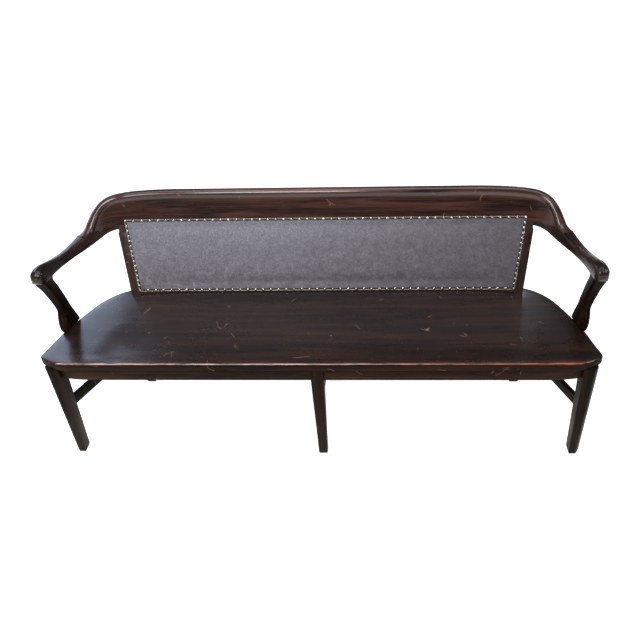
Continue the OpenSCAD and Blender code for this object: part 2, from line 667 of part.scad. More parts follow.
// PANEL: a board in a rebate of the frame, padding, leather, a folded strip and nails
rebate_w = 10;
board_back = 2 * board_t;
recess_top = (arm_z0 - seat_h) / cos(back_rake);
module recess_outline(grow) {
    low_x = stile_in(back_rail_h) + grow;
    high_x = stile_in(recess_top) + grow;
    polygon([[-low_x, back_rail_h - grow], [low_x, back_rail_h - grow],
             [high_x, recess_top + grow], [-high_x, recess_top + grow]]);
}
module panel_recess(grow) {
    on_rake() from_band(-frame_t, board_back) recess_outline(grow);
}
module backing_board() {
    in_place() color(inner_wood) on_rake() from_band(board_back - board_t, board_back)
        recess_outline(rebate_w - joint_gap);
}

// The padding and the leather share one net of points over the opening, so that they lie face to face
pad_columns_shares = [-1, -0.97, -0.92, -0.86, -0.80, -0.74, -0.6, -0.3, 0,
    0.3, 0.6, 0.74, 0.80, 0.86, 0.92, 0.97, 1];
pad_rows_shares = [0, 0.1, 0.3, 0.5, 0.7, 0.9, 1];
pad_low = back_rail_h - rebate_w + joint_gap;
pad_high = recess_top + rebate_w - joint_gap;
function pad_half(s) = stile_in(s) + rebate_w - joint_gap;
function pad_swell(c, r) = pad_crown * (1 - pow(abs(c), 6)) * (1 - pow(abs(2 * r - 1), 3));
function face_t(x) = -bow_sag(abs(x)) * cos(back_rake);
function pad_pt(c, r, lift) =
    let (s = pad_low + r * (pad_high - pad_low), x = c * pad_half(s))
    [x, face_t(x) - pad_swell(c, r) - lift, s];
function pad_back_pt(c, r) = let (p = pad_pt(c, r, 0)) [p[0], face_t(p[0]) + board_t - joint_gap, p[2]];

// A sheet between two equal nets of points, rows running up the face
module sheet(front, back) {
    m = len(front);
    n = len(front[0]);
    function at(k, i, j) = k * m * n + i * n + j;
    function quad(a, b, c, d) = [[a, b, c], [a, c, d]];
    rim = concat([for (j = [0:n - 1]) [0, j]], [for (i = [1:m - 1]) [i, n - 1]],
                 [for (j = [n - 2:-1:0]) [m - 1, j]], [for (i = [m - 2:-1:1]) [i, 0]]);
    front_faces = [for (i = [0:m - 2], j = [0:n - 2]) each
        quad(at(0, i, j), at(0, i + 1, j), at(0, i + 1, j + 1), at(0, i, j + 1))];
    back_faces = [for (i = [0:m - 2], j = [0:n - 2]) each
        quad(at(1, i + 1, j + 1), at(1, i + 1, j), at(1, i, j), at(1, i, j + 1))];
    rim_faces = [for (k = [0:len(rim) - 1]) let (a = rim[k], b = rim[(k + 1) % len(rim)]) each
        quad(at(0, a[0], a[1]), at(0, b[0], b[1]), at(1, b[0], b[1]), at(1, a[0], a[1]))];
    points = concat([for (r = front) each r], [for (r = back) each r]);
    polyhedron(points, concat(front_faces, back_faces, rim_faces), convexity = 4);
}
module padding() {
    in_place() color(inner_wood) on_rake() sheet(
        [for (r = pad_rows_shares) [for (c = pad_columns_shares) pad_pt(c, r, 0)]],
        [for (r = pad_rows_shares) [for (c = pad_columns_shares) pad_back_pt(c, r)]]);
}

// Leather: the same net with a flat margin on the frame all round
leather_margin = 17;
leather_low = 4;
leather_over = 3;
leather_high = (arm_top_z - seat_h) / cos(back_rake) + strip_w + leather_over;
face_gap = 0.3;
function leather_half(s) = stile_in(s) + rebate_w + leather_margin;
function leather_flat(c, s, lift) = let (x = sign(c) * leather_half(s)) [x, face_t(x) - lift, s];
function leather_row(r, lift) =
    let (s = pad_low + r * (pad_high - pad_low))
    concat([leather_flat(-1, s, lift)], [for (c = pad_columns_shares) pad_pt(c, r, lift)],
           [leather_flat(1, s, lift)]);
function leather_edge_row(s, lift) =
    concat([leather_flat(-1, s, lift)],
           [for (c = pad_columns_shares) let (x = c * pad_half(s)) [x, face_t(x) - lift, s]],
           [leather_flat(1, s, lift)]);
function leather_net(lift) = concat([leather_edge_row(leather_low, lift)],
    [for (r = pad_rows_shares) leather_row(r, lift)], [leather_edge_row(leather_high, lift)]);
module leather_panel() {
    in_place() color(leather_grey) on_rake()
        sheet(leather_net(face_gap + leather_t), leather_net(face_gap));
}
strip_t = 1.2;
strip_back = -2 * face_gap - leather_t;
module leather_outline(inset) {
    low_x = leather_half(leather_low) - inset;
    high_x = leather_half(leather_high) - inset;
    polygon([[-low_x, leather_low + inset], [low_x, leather_low + inset],
             [high_x, leather_high - inset], [-high_x, leather_high - inset]]);
}
module leather_strip() {
    in_place() color(strip_tan) on_rake() from_band(strip_back - strip_t, strip_back) difference() {
        leather_outline(0);
        leather_outline(strip_w);
    }
}
nail_rise = 3.6;
nail_facets = 8;
// Domed head: radius and height of its rings, as shares of the head's radius and rise
nail_shares = [[1, 0], [0.76, 0.62], [0.36, 1]];
module nail_head() {
    loft([for (p = nail_shares) [for (i = [0:nail_facets - 1]) let (a = 360 * i / nail_facets)
        [p[0] * nail_d / 2 * cos(a), -p[1] * nail_rise, -p[0] * nail_d / 2 * sin(a)]]]);
}
function nail_yaw(x) = -atan(sign(x) * (bow_sag(abs(x) + 1) - bow_sag(abs(x))));
module nail_at(x, s) {
    translate([x, face_t(x) + strip_back - strip_t, s]) rotate([0, 0, nail_yaw(x)]) nail_head();
}
module nail_row(s) {
    half = leather_half(s) - strip_w / 2;
    count = floor(2 * half / nail_pitch);
    for (i = [0:count]) nail_at(-half + 2 * half * i / count, s);
}
module nail_column(m) {
    s0 = leather_low + strip_w / 2;
    s1 = leather_high - strip_w / 2;
    count = floor((s1 - s0) / nail_pitch_side);
    for (i = [1:count - 1]) let (s = s0 + (s1 - s0) * i / count)
        nail_at(m * (leather_half(s) - strip_w / 2), s);
}
module upholstery_nails() {
    in_place() color(nail_brass) on_rake() {
        nail_row(leather_low + strip_w / 2);
        nail_row(leather_high - strip_w / 2);
        nail_column(-1);
        nail_column(1);
    }
}

// ARM POSTS: an S-curved post on the seat's rim under each hand end.
// Rows up the post: height, front edge, depth, inward set, width, as shares of the
// post's height, its foot's depth (front and depth) and the arm's width (set and width)
post_shares = [[0, 0, 1, 0.18, 0.70], [0.04, -0.01, 1.01, 0.17, 0.715], [0.114, 0.062, 0.895, 0.15, 0.73],
    [0.19, 0.165, 0.745, 0.13, 0.74], [0.254, 0.27, 0.59, 0.11, 0.76], [0.32, 0.345, 0.472, 0.095, 0.77],
    [0.44, 0.31, 0.461, 0.075, 0.80], [0.583, 0.225, 0.469, 0.045, 0.85], [0.75, 0.095, 0.49, 0.025, 0.91],
    [0.87, -0.04, 0.515, 0.01, 0.95], [0.925, -0.10, 0.523, 0, 0.98], [0.978, -0.16, 0.62, 0, 1],
    [1, -0.18, 0.71, 0, 1]];
post_round = 7;
post_twist = 7;
post_h = arm_z0 - seat_h;
function post_ring(p) =
    let (y0 = post_foot_y + p[1] * post_foot_d, y1 = y0 + p[2] * post_foot_d,
         x0 = arm_x - arm_w / 2 - p[3] * arm_w, x1 = x0 + p[4] * arm_w,
         r = post_round, e = 0.3 * post_round)
    [for (q = [[x0 + e, y0 + e], [x0, y0 + r], [x0, y1 - r], [x0 + e, y1 - e],
               [x0 + r, y1], [x1 - r, y1], [x1 - e, y1 - e], [x1, y1 - r],
               [x1, y0 + r], [x1 - e, y0 + e], [x1 - r, y0], [x0 + r, y0]])
        [q[0] - post_shift(q[1], p[0]), q[1], seat_h + p[0] * post_h]];
// Sideways shift that turns the foot to the seat's edge and fades out up the post
function post_shift(y, up) = (y - post_foot_y - post_foot_d / 2) * tan(post_twist) * (1 - up);
module arm_post_right_body() {
    difference() {
        loft([for (p = post_shares) post_ring(p)]);
        post_dowel_holes();
    }
}
module arm_post_right() { in_place() color(dark_wood) arm_post_right_body(); }
module arm_post_left() { in_place() color(dark_wood) side(-1) arm_post_right_body(); }

// DOWELS in the joints, each in its hole with a little end play
dowel_d = 10;
dowel_deep = 20;
dowel_end_gap = 0.5;
dowel_fit = 0.1;
module dowel_pin(gap, deep = dowel_deep) {
    half = deep + gap * dowel_end_gap / dowel_fit;
    translate([0, 0, -half]) cylinder(h = 2 * half, d = dowel_d + 2 * gap);
}
post_dowel_shares = [0.3, 0.7];
post_dowel_set_share = 0.405;
module post_dowels_right(gap) {
    top = post_shares[len(post_shares) - 1];
    for (f = post_dowel_shares) {
        y = post_foot_y + f * post_foot_d;
        translate([arm_x - arm_w * post_dowel_set_share - post_shift(y, 0), y, seat_h]) dowel_pin(gap);
        translate([arm_x, post_foot_y + (top[1] + f * top[2]) * post_foot_d, arm_z0]) dowel_pin(gap);
    }
}
module post_dowel_holes() { both_sides() post_dowels_right(dowel_fit); }
module post_dowels() { in_place() color(inner_wood) both_sides() post_dowels_right(0); }

crest_dowel_deep = 14;
crest_dowel_x_shares = [0.12, 0.4, 0.7];
crest_arm_dowel_shares = [0.2, 0.5];
module crest_dowels_right(gap) {
    for (f = crest_dowel_x_shares)
        translate([f * arm_x, back_mid_y - bow_sag(f * arm_x), arm_top_z]) rotate([-back_rake, 0, 0])
            dowel_pin(gap, crest_dowel_deep);
    for (f = crest_arm_dowel_shares)
        translate(bow_place(arm_start_u + f * (crest_tip_u - arm_start_u), 0, 0))
            dowel_pin(gap, crest_dowel_deep);
}
module crest_dowel_holes() { both_sides() crest_dowels_right(dowel_fit); }
module crest_dowels() { in_place() color(inner_wood) both_sides() crest_dowels_right(0); }

stile_dowel_shares = [0.46, 0.8];
rail_dowel_shares = [0.25, 0.5];
stile_dowel_set_share = 0.53;
module stile_dowels_right(gap) {
    for (x = concat([for (f = stile_dowel_shares) stile_in(0) + f * stile_w],
                    [for (f = rail_dowel_shares) f * arm_x]))
        translate([x, back_y - bow_sag(x) + frame_t * stile_dowel_set_share, seat_h]) dowel_pin(gap);
}
module stile_dowel_holes() { both_sides() stile_dowels_right(dowel_fit); }
module stile_dowels() { in_place() color(inner_wood) both_sides() stile_dowels_right(0); }

seat_board_front();
seat_board_mid_front();
seat_board_mid_rear();
seat_board_rear();
front_leg_left();
front_leg_centre();
front_leg_right();
rear_leg_left();
rear_leg_centre();
rear_leg_right();
front_rail_left();
front_rail_right();
side_rail_left();
side_rail_right();
rear_rail_left();
rear_rail_right();
stretcher_left();
stretcher_centre();
stretcher_right();
corner_blocks();
glue_blocks();
stile_left();
stile_right();
middle_stile();
back_rail_bottom();
back_rail_top();
crest();
arm_left();
arm_right();
arm_post_left();
arm_post_right();
post_dowels();
crest_dowels();
stile_dowels();
backing_board();
padding();
leather_panel();
leather_strip();
upholstery_nails();
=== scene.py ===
# Railroad station bench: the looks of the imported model, piece by piece as the bench is put together
import math

import bpy
import numpy as np
from mathutils import Matrix, Vector


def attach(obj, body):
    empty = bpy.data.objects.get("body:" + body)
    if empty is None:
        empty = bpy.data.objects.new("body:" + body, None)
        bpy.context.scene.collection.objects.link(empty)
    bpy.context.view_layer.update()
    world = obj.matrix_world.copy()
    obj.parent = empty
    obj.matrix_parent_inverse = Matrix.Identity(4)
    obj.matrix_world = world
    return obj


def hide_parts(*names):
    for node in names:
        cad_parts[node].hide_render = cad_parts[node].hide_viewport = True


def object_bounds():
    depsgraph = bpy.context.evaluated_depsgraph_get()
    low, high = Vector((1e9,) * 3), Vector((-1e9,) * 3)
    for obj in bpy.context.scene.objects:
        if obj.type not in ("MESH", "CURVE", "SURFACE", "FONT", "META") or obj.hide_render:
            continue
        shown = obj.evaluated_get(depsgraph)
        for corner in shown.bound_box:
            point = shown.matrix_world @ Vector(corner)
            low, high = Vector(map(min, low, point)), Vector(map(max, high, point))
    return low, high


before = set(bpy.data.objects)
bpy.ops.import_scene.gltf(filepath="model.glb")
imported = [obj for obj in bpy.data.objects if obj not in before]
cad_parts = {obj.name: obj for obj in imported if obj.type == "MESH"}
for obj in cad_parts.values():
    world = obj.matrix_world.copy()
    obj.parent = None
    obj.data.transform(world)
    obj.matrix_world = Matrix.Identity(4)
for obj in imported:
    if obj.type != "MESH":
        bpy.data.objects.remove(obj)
cad_low, cad_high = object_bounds()


# Camera: where the photographer stood, a little right of the middle and looking down on the
# bench. Its place, aim and picture centre follow from the bench's own straight edges.
PICTURE_PX = 640
FRONT = cad_low[1]
focal_px = 647.05
centre_px = (358.08, 327.06)
eye = Vector((0.24063, FRONT - 1.70396, 1.89334))
# Where the picture's right, its foot and its depth point in the room
right = Vector((0.99911655, 0.03180474, -0.02746951))
down = Vector((-0.00290903, -0.59973594, -0.80019269))
ahead = right.cross(down)

camera_data = bpy.data.cameras.new("camera")
camera_data.sensor_width = 36
camera_data.lens = focal_px / PICTURE_PX * camera_data.sensor_width
camera_data.shift_x = (PICTURE_PX / 2 - centre_px[0]) / PICTURE_PX
camera_data.shift_y = (centre_px[1] - PICTURE_PX / 2) / PICTURE_PX
camera = bpy.data.objects.new("camera", camera_data)
camera.matrix_world = Matrix((right, -down, -ahead)).transposed().to_4x4()
camera.matrix_world.translation = eye
bpy.context.scene.collection.objects.link(camera)
bpy.context.scene.camera = camera


# Studio: matt white paper under the bench, a plain pale room round it, and soft boxes that
# give the varnish its long highlights. The paper reads as white and keeps the bench's shadow.
def linear(hex_code):
    """sRGB hex colour to linear RGBA."""
    parts = [int(hex_code[i:i + 2], 16) / 255 for i in (1, 3, 5)]
    return [c / 12.92 if c <= 0.04045 else ((c + 0.055) / 1.055) ** 2.4 for c in parts] + [1]


def add(tree, kind, links=(), values=(), stops=(), **settings):
    """Adds a node, sets its settings, values and ramp stops, and links its inputs to other outputs.
    In a Mix node, 0 is the factor, 4 and 5 are its two vectors, and 6 and 7 its two colours."""
    node = tree.nodes.new(kind)
    for name, value in settings.items():
        setattr(node, name, value)
    for key, value in dict(values).items():
        node.inputs[key].default_value = value
    for key, output in dict(links).items():
        tree.links.new(output, node.inputs[key])
    for k, (place, colour) in enumerate(stops):
        ramp = node.color_ramp.elements
        stop = ramp[k] if k < 2 else ramp.new(place)
        stop.position, stop.color = place, linear(colour)
    return node


def new_material(name):
    """An empty node material, its tree and its output node."""
    material = bpy.data.materials.new(name)
    material.use_nodes = True
    tree = material.node_tree
    tree.nodes.clear()
    return material, tree, tree.nodes.new("ShaderNodeOutputMaterial")


bpy.context.scene.view_settings.view_transform = "Standard"
# FLOOR_SIDE in metres. FLOOR_GLOW is what the paper adds of its own where the camera or a
# reflection sees it, so that it reads as white under a plain light.
FLOOR_SIDE, FLOOR_GLOW = 40, 0.9
bpy.ops.object.select_all(action="DESELECT")
bpy.ops.mesh.primitive_plane_add(size=FLOOR_SIDE, location=(0, 0, 0))
floor = bpy.context.object
floor.name = "studio_floor"
paper_finish, tree, out = new_material("matt_white_paper")
ray = add(tree, "ShaderNodeLightPath")
lit = add(tree, "ShaderNodeMath", {0: ray.outputs["Is Camera Ray"], 1: ray.outputs["Is Glossy Ray"]},
          operation="ADD")
lit = add(tree, "ShaderNodeMath", {0: lit.outputs[0], 1: ray.outputs["Is Transmission Ray"]},
          operation="ADD", use_clamp=True)
glow = add(tree, "ShaderNodeMath", {0: lit.outputs[0]}, {1: FLOOR_GLOW}, operation="MULTIPLY")
paper = add(tree, "ShaderNodeBsdfPrincipled", {"Emission Strength": glow.outputs[0]},
            {"Base Color": linear("#f4f4f4"), "Roughness": 1, "Specular IOR Level": 0,
             "Emission Color": (1, 1, 1, 1)})
tree.links.new(paper.outputs[0], out.inputs[0])
floor.data.materials.append(paper_finish)

world = bpy.data.worlds.new("pale_room")
bpy.context.scene.world = world
world.use_nodes = True
tree = world.node_tree
tree.nodes.clear()
way = add(tree, "ShaderNodeTexCoord")
height = add(tree, "ShaderNodeSeparateXYZ", {0: way.outputs["Generated"]})
# White paper up to 5 degrees above the floor, dim walls, and a pale ceiling
room = add(tree, "ShaderNodeValToRGB", {0: height.outputs["Z"]},
           stops=[(0.09, "#ffffff"), (0.25, "#4c4a49"), (0.66, "#3f3d3d"), (0.9, "#9a9da3")])
sky = add(tree, "ShaderNodeBackground", {0: room.outputs[0]}, {1: 1.0})
tree.links.new(sky.outputs[0], tree.nodes.new("ShaderNodeOutputWorld").inputs[0])

# Soft boxes: name, place, point they face, width and height in metres, power in watts, colour
SOFT_BOXES = [
    ("window_in_front", (-0.6, -1.35, 2.6), (-0.5, 0.2, 0.75), 1.2, 1.1, 43, "#ffffff"),
    ("ceiling", (0.0, 0.2, 4.2), (0, 0.1, 0.5), 3.6, 1.6, 48, "#ffffff"),
    ("window_behind_left", (-4.0, 2.75, 2.35), (-1.2, -0.15, 0.4), 3.4, 2.7, 84, "#cfe0ff"),
    ("gap_behind_right", (1.54, 3.45, 2.5), (0.77, 0.2, 0.45), 0.14, 0.6, 2.6, "#e4ecff"),
    ("hand_left", (-2.6, -1.6, 2.6), (-0.95, -0.1, 0.7), 0.5, 0.5, 24, "#f4f7ff"),
    ("hand_right", (2.9, -0.9, 2.6), (0.95, -0.1, 0.7), 0.45, 0.45, 24, "#f4f7ff"),
]
for name, place, target, wide, high, watts, colour in SOFT_BOXES:
    lamp = bpy.data.lights.new(name, "AREA")
    lamp.shape = "RECTANGLE"
    lamp.size, lamp.size_y, lamp.energy = wide, high, watts
    lamp.color = linear(colour)[:3]
    box = bpy.data.objects.new(name, lamp)
    box.location = place
    box.rotation_euler = (Vector(target) - Vector(place)).to_track_quat("-Z", "Y").to_euler()
    box.visible_camera = False
    bpy.context.scene.collection.objects.link(box)


# Seat: four mahogany boards glued edge to edge, scooped with a plane, stained nearly black and
# varnished. Sitters have worn the front arris down to pink wood and scuffed the varnish; the arris also
# carries a painted highlight.
# All sizes are in millimetres. RIM_W is the seat's flat rim, and RIM_FALL its run down into the scoop.
SEAT_LEN, SEAT_H, SEAT_T, SEAT_D = 1982, 457, 33, 492
SEAT_ROUND, SCOOP, RIM_W, RIM_FALL, BOARDS = 6, 8, 40, 300, 4
ROUND_SMOOTH_DEG = 50
# Where the outline runs slantwise, the rounding and the rim widen, up to these factors
ROUND_WIDENS, RIM_WIDENS = 2.5, 1.5
ROUND_STEPS, FALL_STEPS, SEAT_STEP = 4, 12, 6
# Closer sections at the rounded front, and ahead of the rear edge, in mm
FRONT_ROWS, REAR_ROWS = [0, 0.2, 0.6, 1.2, 2, 3, 4.2], [3, 1.5, 0]
# Half length along the seat's edge and depth of the scoop: place in the seat's depth, share
SEAT_EDGE = [(0, 0.888), (0.0012, 0.897), (0.004, 0.913), (0.010, 0.929), (0.020, 0.945), (0.037, 0.963),
             (0.055, 0.980), (0.075, 0.994), (0.095, 1), (0.12, 0.999), (0.19, 0.991), (0.27, 0.983),
             (0.35, 0.975), (0.455, 0.961), (0.56, 0.942), (0.67, 0.921), (0.78, 0.896), (0.86, 0.867),
             (0.92, 0.834), (0.945, 0.814), (0.965, 0.792), (0.983, 0.760), (1, 0.70)]
SCOOP_ROWS = [(0, 0.25), (0.05, 0.4), (0.15, 0.7), (0.35, 1), (0.6, 1), (0.75, 0.75), (0.84, 0.35),
              (0.89, 0.08), (0.92, 0), (1, 0)]


def smooth_at(x, rows):
    """Smooth value at x in a table of (x, value) rows, without overshoot."""
    i = max(0, min(len(rows) - 2, sum(r[0] <= x for r in rows) - 1))
    slopes = [(b[1] - a[1]) / (b[0] - a[0]) for a, b in zip(rows, rows[1:])]
    turn = []
    for k in (i, i + 1):
        a, b = slopes[max(k - 1, 0)], slopes[min(k, len(slopes) - 1)]
        turn.append(0 if a * b <= 0 else 2 * a * b / (a + b))
    h = rows[i + 1][0] - rows[i][0]
    f = max(0, min(1, (x - rows[i][0]) / h))
    g = 1 - f
    return (rows[i][1] * g * g * (1 + 2 * f) + rows[i + 1][1] * f * f * (1 + 2 * g)
            + h * f * g * (turn[0] * g - turn[1] * f))


def arc(centre, r_across, r_up, start, end, steps):
    """Points of a rounded corner, from start to end in degrees."""
    angles = [math.radians(start + (end - start) * k / steps) for k in range(steps + 1)]
    return [(centre[0] + r_across * math.cos(a), centre[1] + r_up * math.sin(a)) for a in angles]


def in_room(p):
    """A point in millimetres from the seat's front edge, in metres in the frame."""
    return (p[0] / 1000, p[1] / 1000 + FRONT, p[2] / 1000)


def pick(piece):
    """Selects one object alone and makes it active, as the operators need."""
    bpy.ops.object.select_all(action="DESELECT")
    piece.select_set(True)
    bpy.context.view_layer.objects.active = piece


def meshed(name, points, faces):
    """A new object with these points, in metres, and these faces."""
    mesh = bpy.data.meshes.new(name)
    mesh.from_pydata(points, [], faces)
    piece = bpy.data.objects.new(name, mesh)
    bpy.context.scene.collection.objects.link(piece)
    pick(piece)
    return piece


def face_outwards(piece, smooth_deg):
    """Turns all faces outwards and shades the piece smooth up to an angle."""
    pick(piece)
    bpy.ops.object.mode_set(mode="EDIT")
    bpy.ops.mesh.select_all(action="SELECT")
    bpy.ops.mesh.normals_make_consistent(inside=False)
    bpy.ops.object.mode_set(mode="OBJECT")
    bpy.ops.object.shade_smooth_by_angle(angle=math.radians(smooth_deg))


def lofted(name, rings, material, node, smooth_deg=ROUND_SMOOTH_DEG):
    """A closed solid through rings of equal count. Its map, called grain, runs along the rings' order
    in U and round them in V, both in metres, so that the figure of the wood can follow the piece."""
    count = len(rings[0])
    points = [in_room(p) for ring in rings for p in ring]
    faces = [(i * count + j, i * count + (j + 1) % count, (i + 1) * count + (j + 1) % count,
              (i + 1) * count + j) for i in range(len(rings) - 1) for j in range(count)]
    walls, last = len(faces), (len(rings) - 1) * count
    faces += [tuple(reversed(range(count))), tuple(range(last, last + count))]
    piece = meshed(name, points, faces)
    mesh = piece.data
    grid = np.array(points).reshape(len(rings), count, 3)
    middle = grid.mean(axis=1)
    along = np.concatenate([[0], np.cumsum(np.linalg.norm(np.diff(middle, axis=0), axis=1))])
    step = np.linalg.norm(np.diff(grid, axis=1, append=grid[:, :1]), axis=2)
    around = np.concatenate([np.zeros((len(rings), 1)), np.cumsum(step, axis=1)], axis=1)
    layer = mesh.uv_layers.new(name="grain")
    for polygon in mesh.polygons:
        for loop in polygon.loop_indices:
            i, j = divmod(mesh.loops[loop].vertex_index, count)
            wraps = polygon.index < walls and polygon.index % count == count - 1 and j == 0
            layer.data[loop].uv = (along[i], around[i, count if wraps else j])
    face_outwards(piece, smooth_deg)
    mesh.materials.append(material)
    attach(piece, "root")
    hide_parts(node)
    return piece


def varnished_mahogany(name, along, pore, body, bare, warmth, gloss, rubbed, coat, dents=0.0, wear_and_highlight=None,
                       shift=0.0, shine=0.5, pore_depth=0.22):
    """Stained and varnished mahogany: nearly black, with brown streaks along the grain and a soft shine.
    along: the axis of the grain, or "grain" for a piece's own map. pore, body, bare: the stain in the
    pores, between them and where it has worn thin. warmth: how much of the bare tone shows. gloss and
    rubbed: roughness of the varnish and what rubbing adds to it. coat and shine: how much of a glossy
    top layer is left, and how strongly the stain reflects. dents: share of the places that hold a pale
    dent. shift: moves the figure from board to board, in metres."""
    material, tree, out = new_material(name)
    where = add(tree, "ShaderNodeTexCoord").outputs["Object"]
    if along == "grain":
        run = add(tree, "ShaderNodeUVMap", uv_map="grain").outputs[0]
    else:
        turn = {"X": (0, 0, 0), "Y": (0, 0, -math.pi / 2), "Z": (0, math.pi / 2, 0)}[along]
        run = add(tree, "ShaderNodeMapping", {"Vector": where},
                  {"Location": (shift, shift, 0), "Rotation": turn}).outputs[0]
    # Pores: real ones are 0.3 mm wide, drawn 4 mm wide and 130 mm long so that they show
    fine = add(tree, "ShaderNodeMapping", {"Vector": run}, {"Scale": (7.5, 250, 250)})
    pores = add(tree, "ShaderNodeTexNoise", {"Vector": fine.outputs[0]},
                {"Scale": 1, "Detail": 6, "Roughness": 0.65, "Distortion": 0.3})
    # Growth bands 40 mm wide and 600 mm long
    broad = add(tree, "ShaderNodeMapping", {"Vector": run}, {"Scale": (1.7, 25, 25)})
    bands = add(tree, "ShaderNodeTexNoise", {"Vector": broad.outputs[0]},
                {"Scale": 1, "Detail": 5, "Roughness": 0.6, "Distortion": 0.9})
    tone = add(tree, "ShaderNodeValToRGB", {0: pores.outputs[0]}, stops=[(0.40, pore), (0.60, body)])
    thin = add(tree, "ShaderNodeMapRange", {"Value": bands.outputs[0]},
               {"From Min": 0.42, "From Max": 0.72, "To Max": warmth})
    colour = add(tree, "ShaderNodeMix", {0: thin.outputs[0], 6: tone.outputs[0]}, {7: linear(bare)},
                 data_type="RGBA").outputs[2]
    # Dull patches 60 to 200 mm across where hands and coats have rubbed the varnish
    patches = add(tree, "ShaderNodeTexNoise", {"Vector": where},
                  {"Scale": 8, "Detail": 6, "Roughness": 0.65})
    rough = add(tree, "ShaderNodeMapRange", {"Value": patches.outputs[0]},
                {"From Min": 0.35, "From Max": 0.7, "To Min": gloss, "To Max": gloss + rubbed}).outputs[0]
    height = add(tree, "ShaderNodeMath", {0: pores.outputs[0]}, {1: 0.6}, operation="MULTIPLY").outputs[0]
    if dents:
        # Dents about 6 mm wide, down to the pale wood, in some of the 45 mm cells
        cells = add(tree, "ShaderNodeTexVoronoi", {"Vector": where}, {"Scale": 22})
        spot = add(tree, "ShaderNodeMapRange", {"Value": cells.outputs["Distance"]},
                   {"From Min": 0.085, "From Max": 0.04})
        pick = add(tree, "ShaderNodeSeparateColor", {0: cells.outputs["Color"]})
        some = add(tree, "ShaderNodeMath", {0: pick.outputs[0]}, {1: 1 - dents}, operation="GREATER_THAN")
        dent = add(tree, "ShaderNodeMath", {0: spot.outputs[0], 1: some.outputs[0]}, operation="MULTIPLY")
        # Scratches: bits of long crooked lines, drawn 1 to 2 mm wide so that they show
        bend = add(tree, "ShaderNodeTexNoise", {"Vector": where}, {"Scale": 6, "Detail": 2})
        bent = add(tree, "ShaderNodeMix", {4: where, 5: bend.outputs["Color"]}, {0: 0.12},
                   data_type="VECTOR")
        lines = add(tree, "ShaderNodeTexVoronoi", {"Vector": bent.outputs[1]}, {"Scale": 9},
                    feature="DISTANCE_TO_EDGE")
        line = add(tree, "ShaderNodeMapRange", {"Value": lines.outputs["Distance"]},
                   {"From Min": 0.012, "From Max": 0.003})
        bits = add(tree, "ShaderNodeTexNoise", {"Vector": where}, {"Scale": 14, "Detail": 1})
        kept = add(tree, "ShaderNodeMapRange", {"Value": bits.outputs[0]},
                   {"From Min": 0.63, "From Max": 0.68, "To Max": 0.75})
        scratch = add(tree, "ShaderNodeMath", {0: line.outputs[0], 1: kept.outputs[0]}, operation="MULTIPLY")
        marks = add(tree, "ShaderNodeMath", {0: dent.outputs[0], 1: scratch.outputs[0]}, operation="MAXIMUM")
        colour = add(tree, "ShaderNodeMix", {0: marks.outputs[0], 6: colour}, {7: linear("#8d6f5e")},
                     data_type="RGBA").outputs[2]
    if wear_and_highlight:
        colour = wear_and_highlight(tree, where, colour)
    relief = add(tree, "ShaderNodeBump", {"Height": height}, {"Strength": pore_depth, "Distance": 0.0004})
    shader = add(tree, "ShaderNodeBsdfPrincipled",
                 {"Base Color": colour, "Roughness": rough, "Normal": relief.outputs[0]},
                 {"IOR": 1.5, "Specular IOR Level": shine, "Coat Weight": coat, "Coat Roughness": 0.13})
    tree.links.new(shader.outputs[0], out.inputs[0])
    return material


# Wear of the front, in mm: how far behind it the rubbed band starts and is full, the same for the
# bare arris with its painted highlight, and how far above the start of the rounding both fade in
RUBBED_BAND, BARE_AND_LIT_ARRIS, WORN_ABOVE = (27, 8), (6.5, 4.5), (1.5, 3.5)


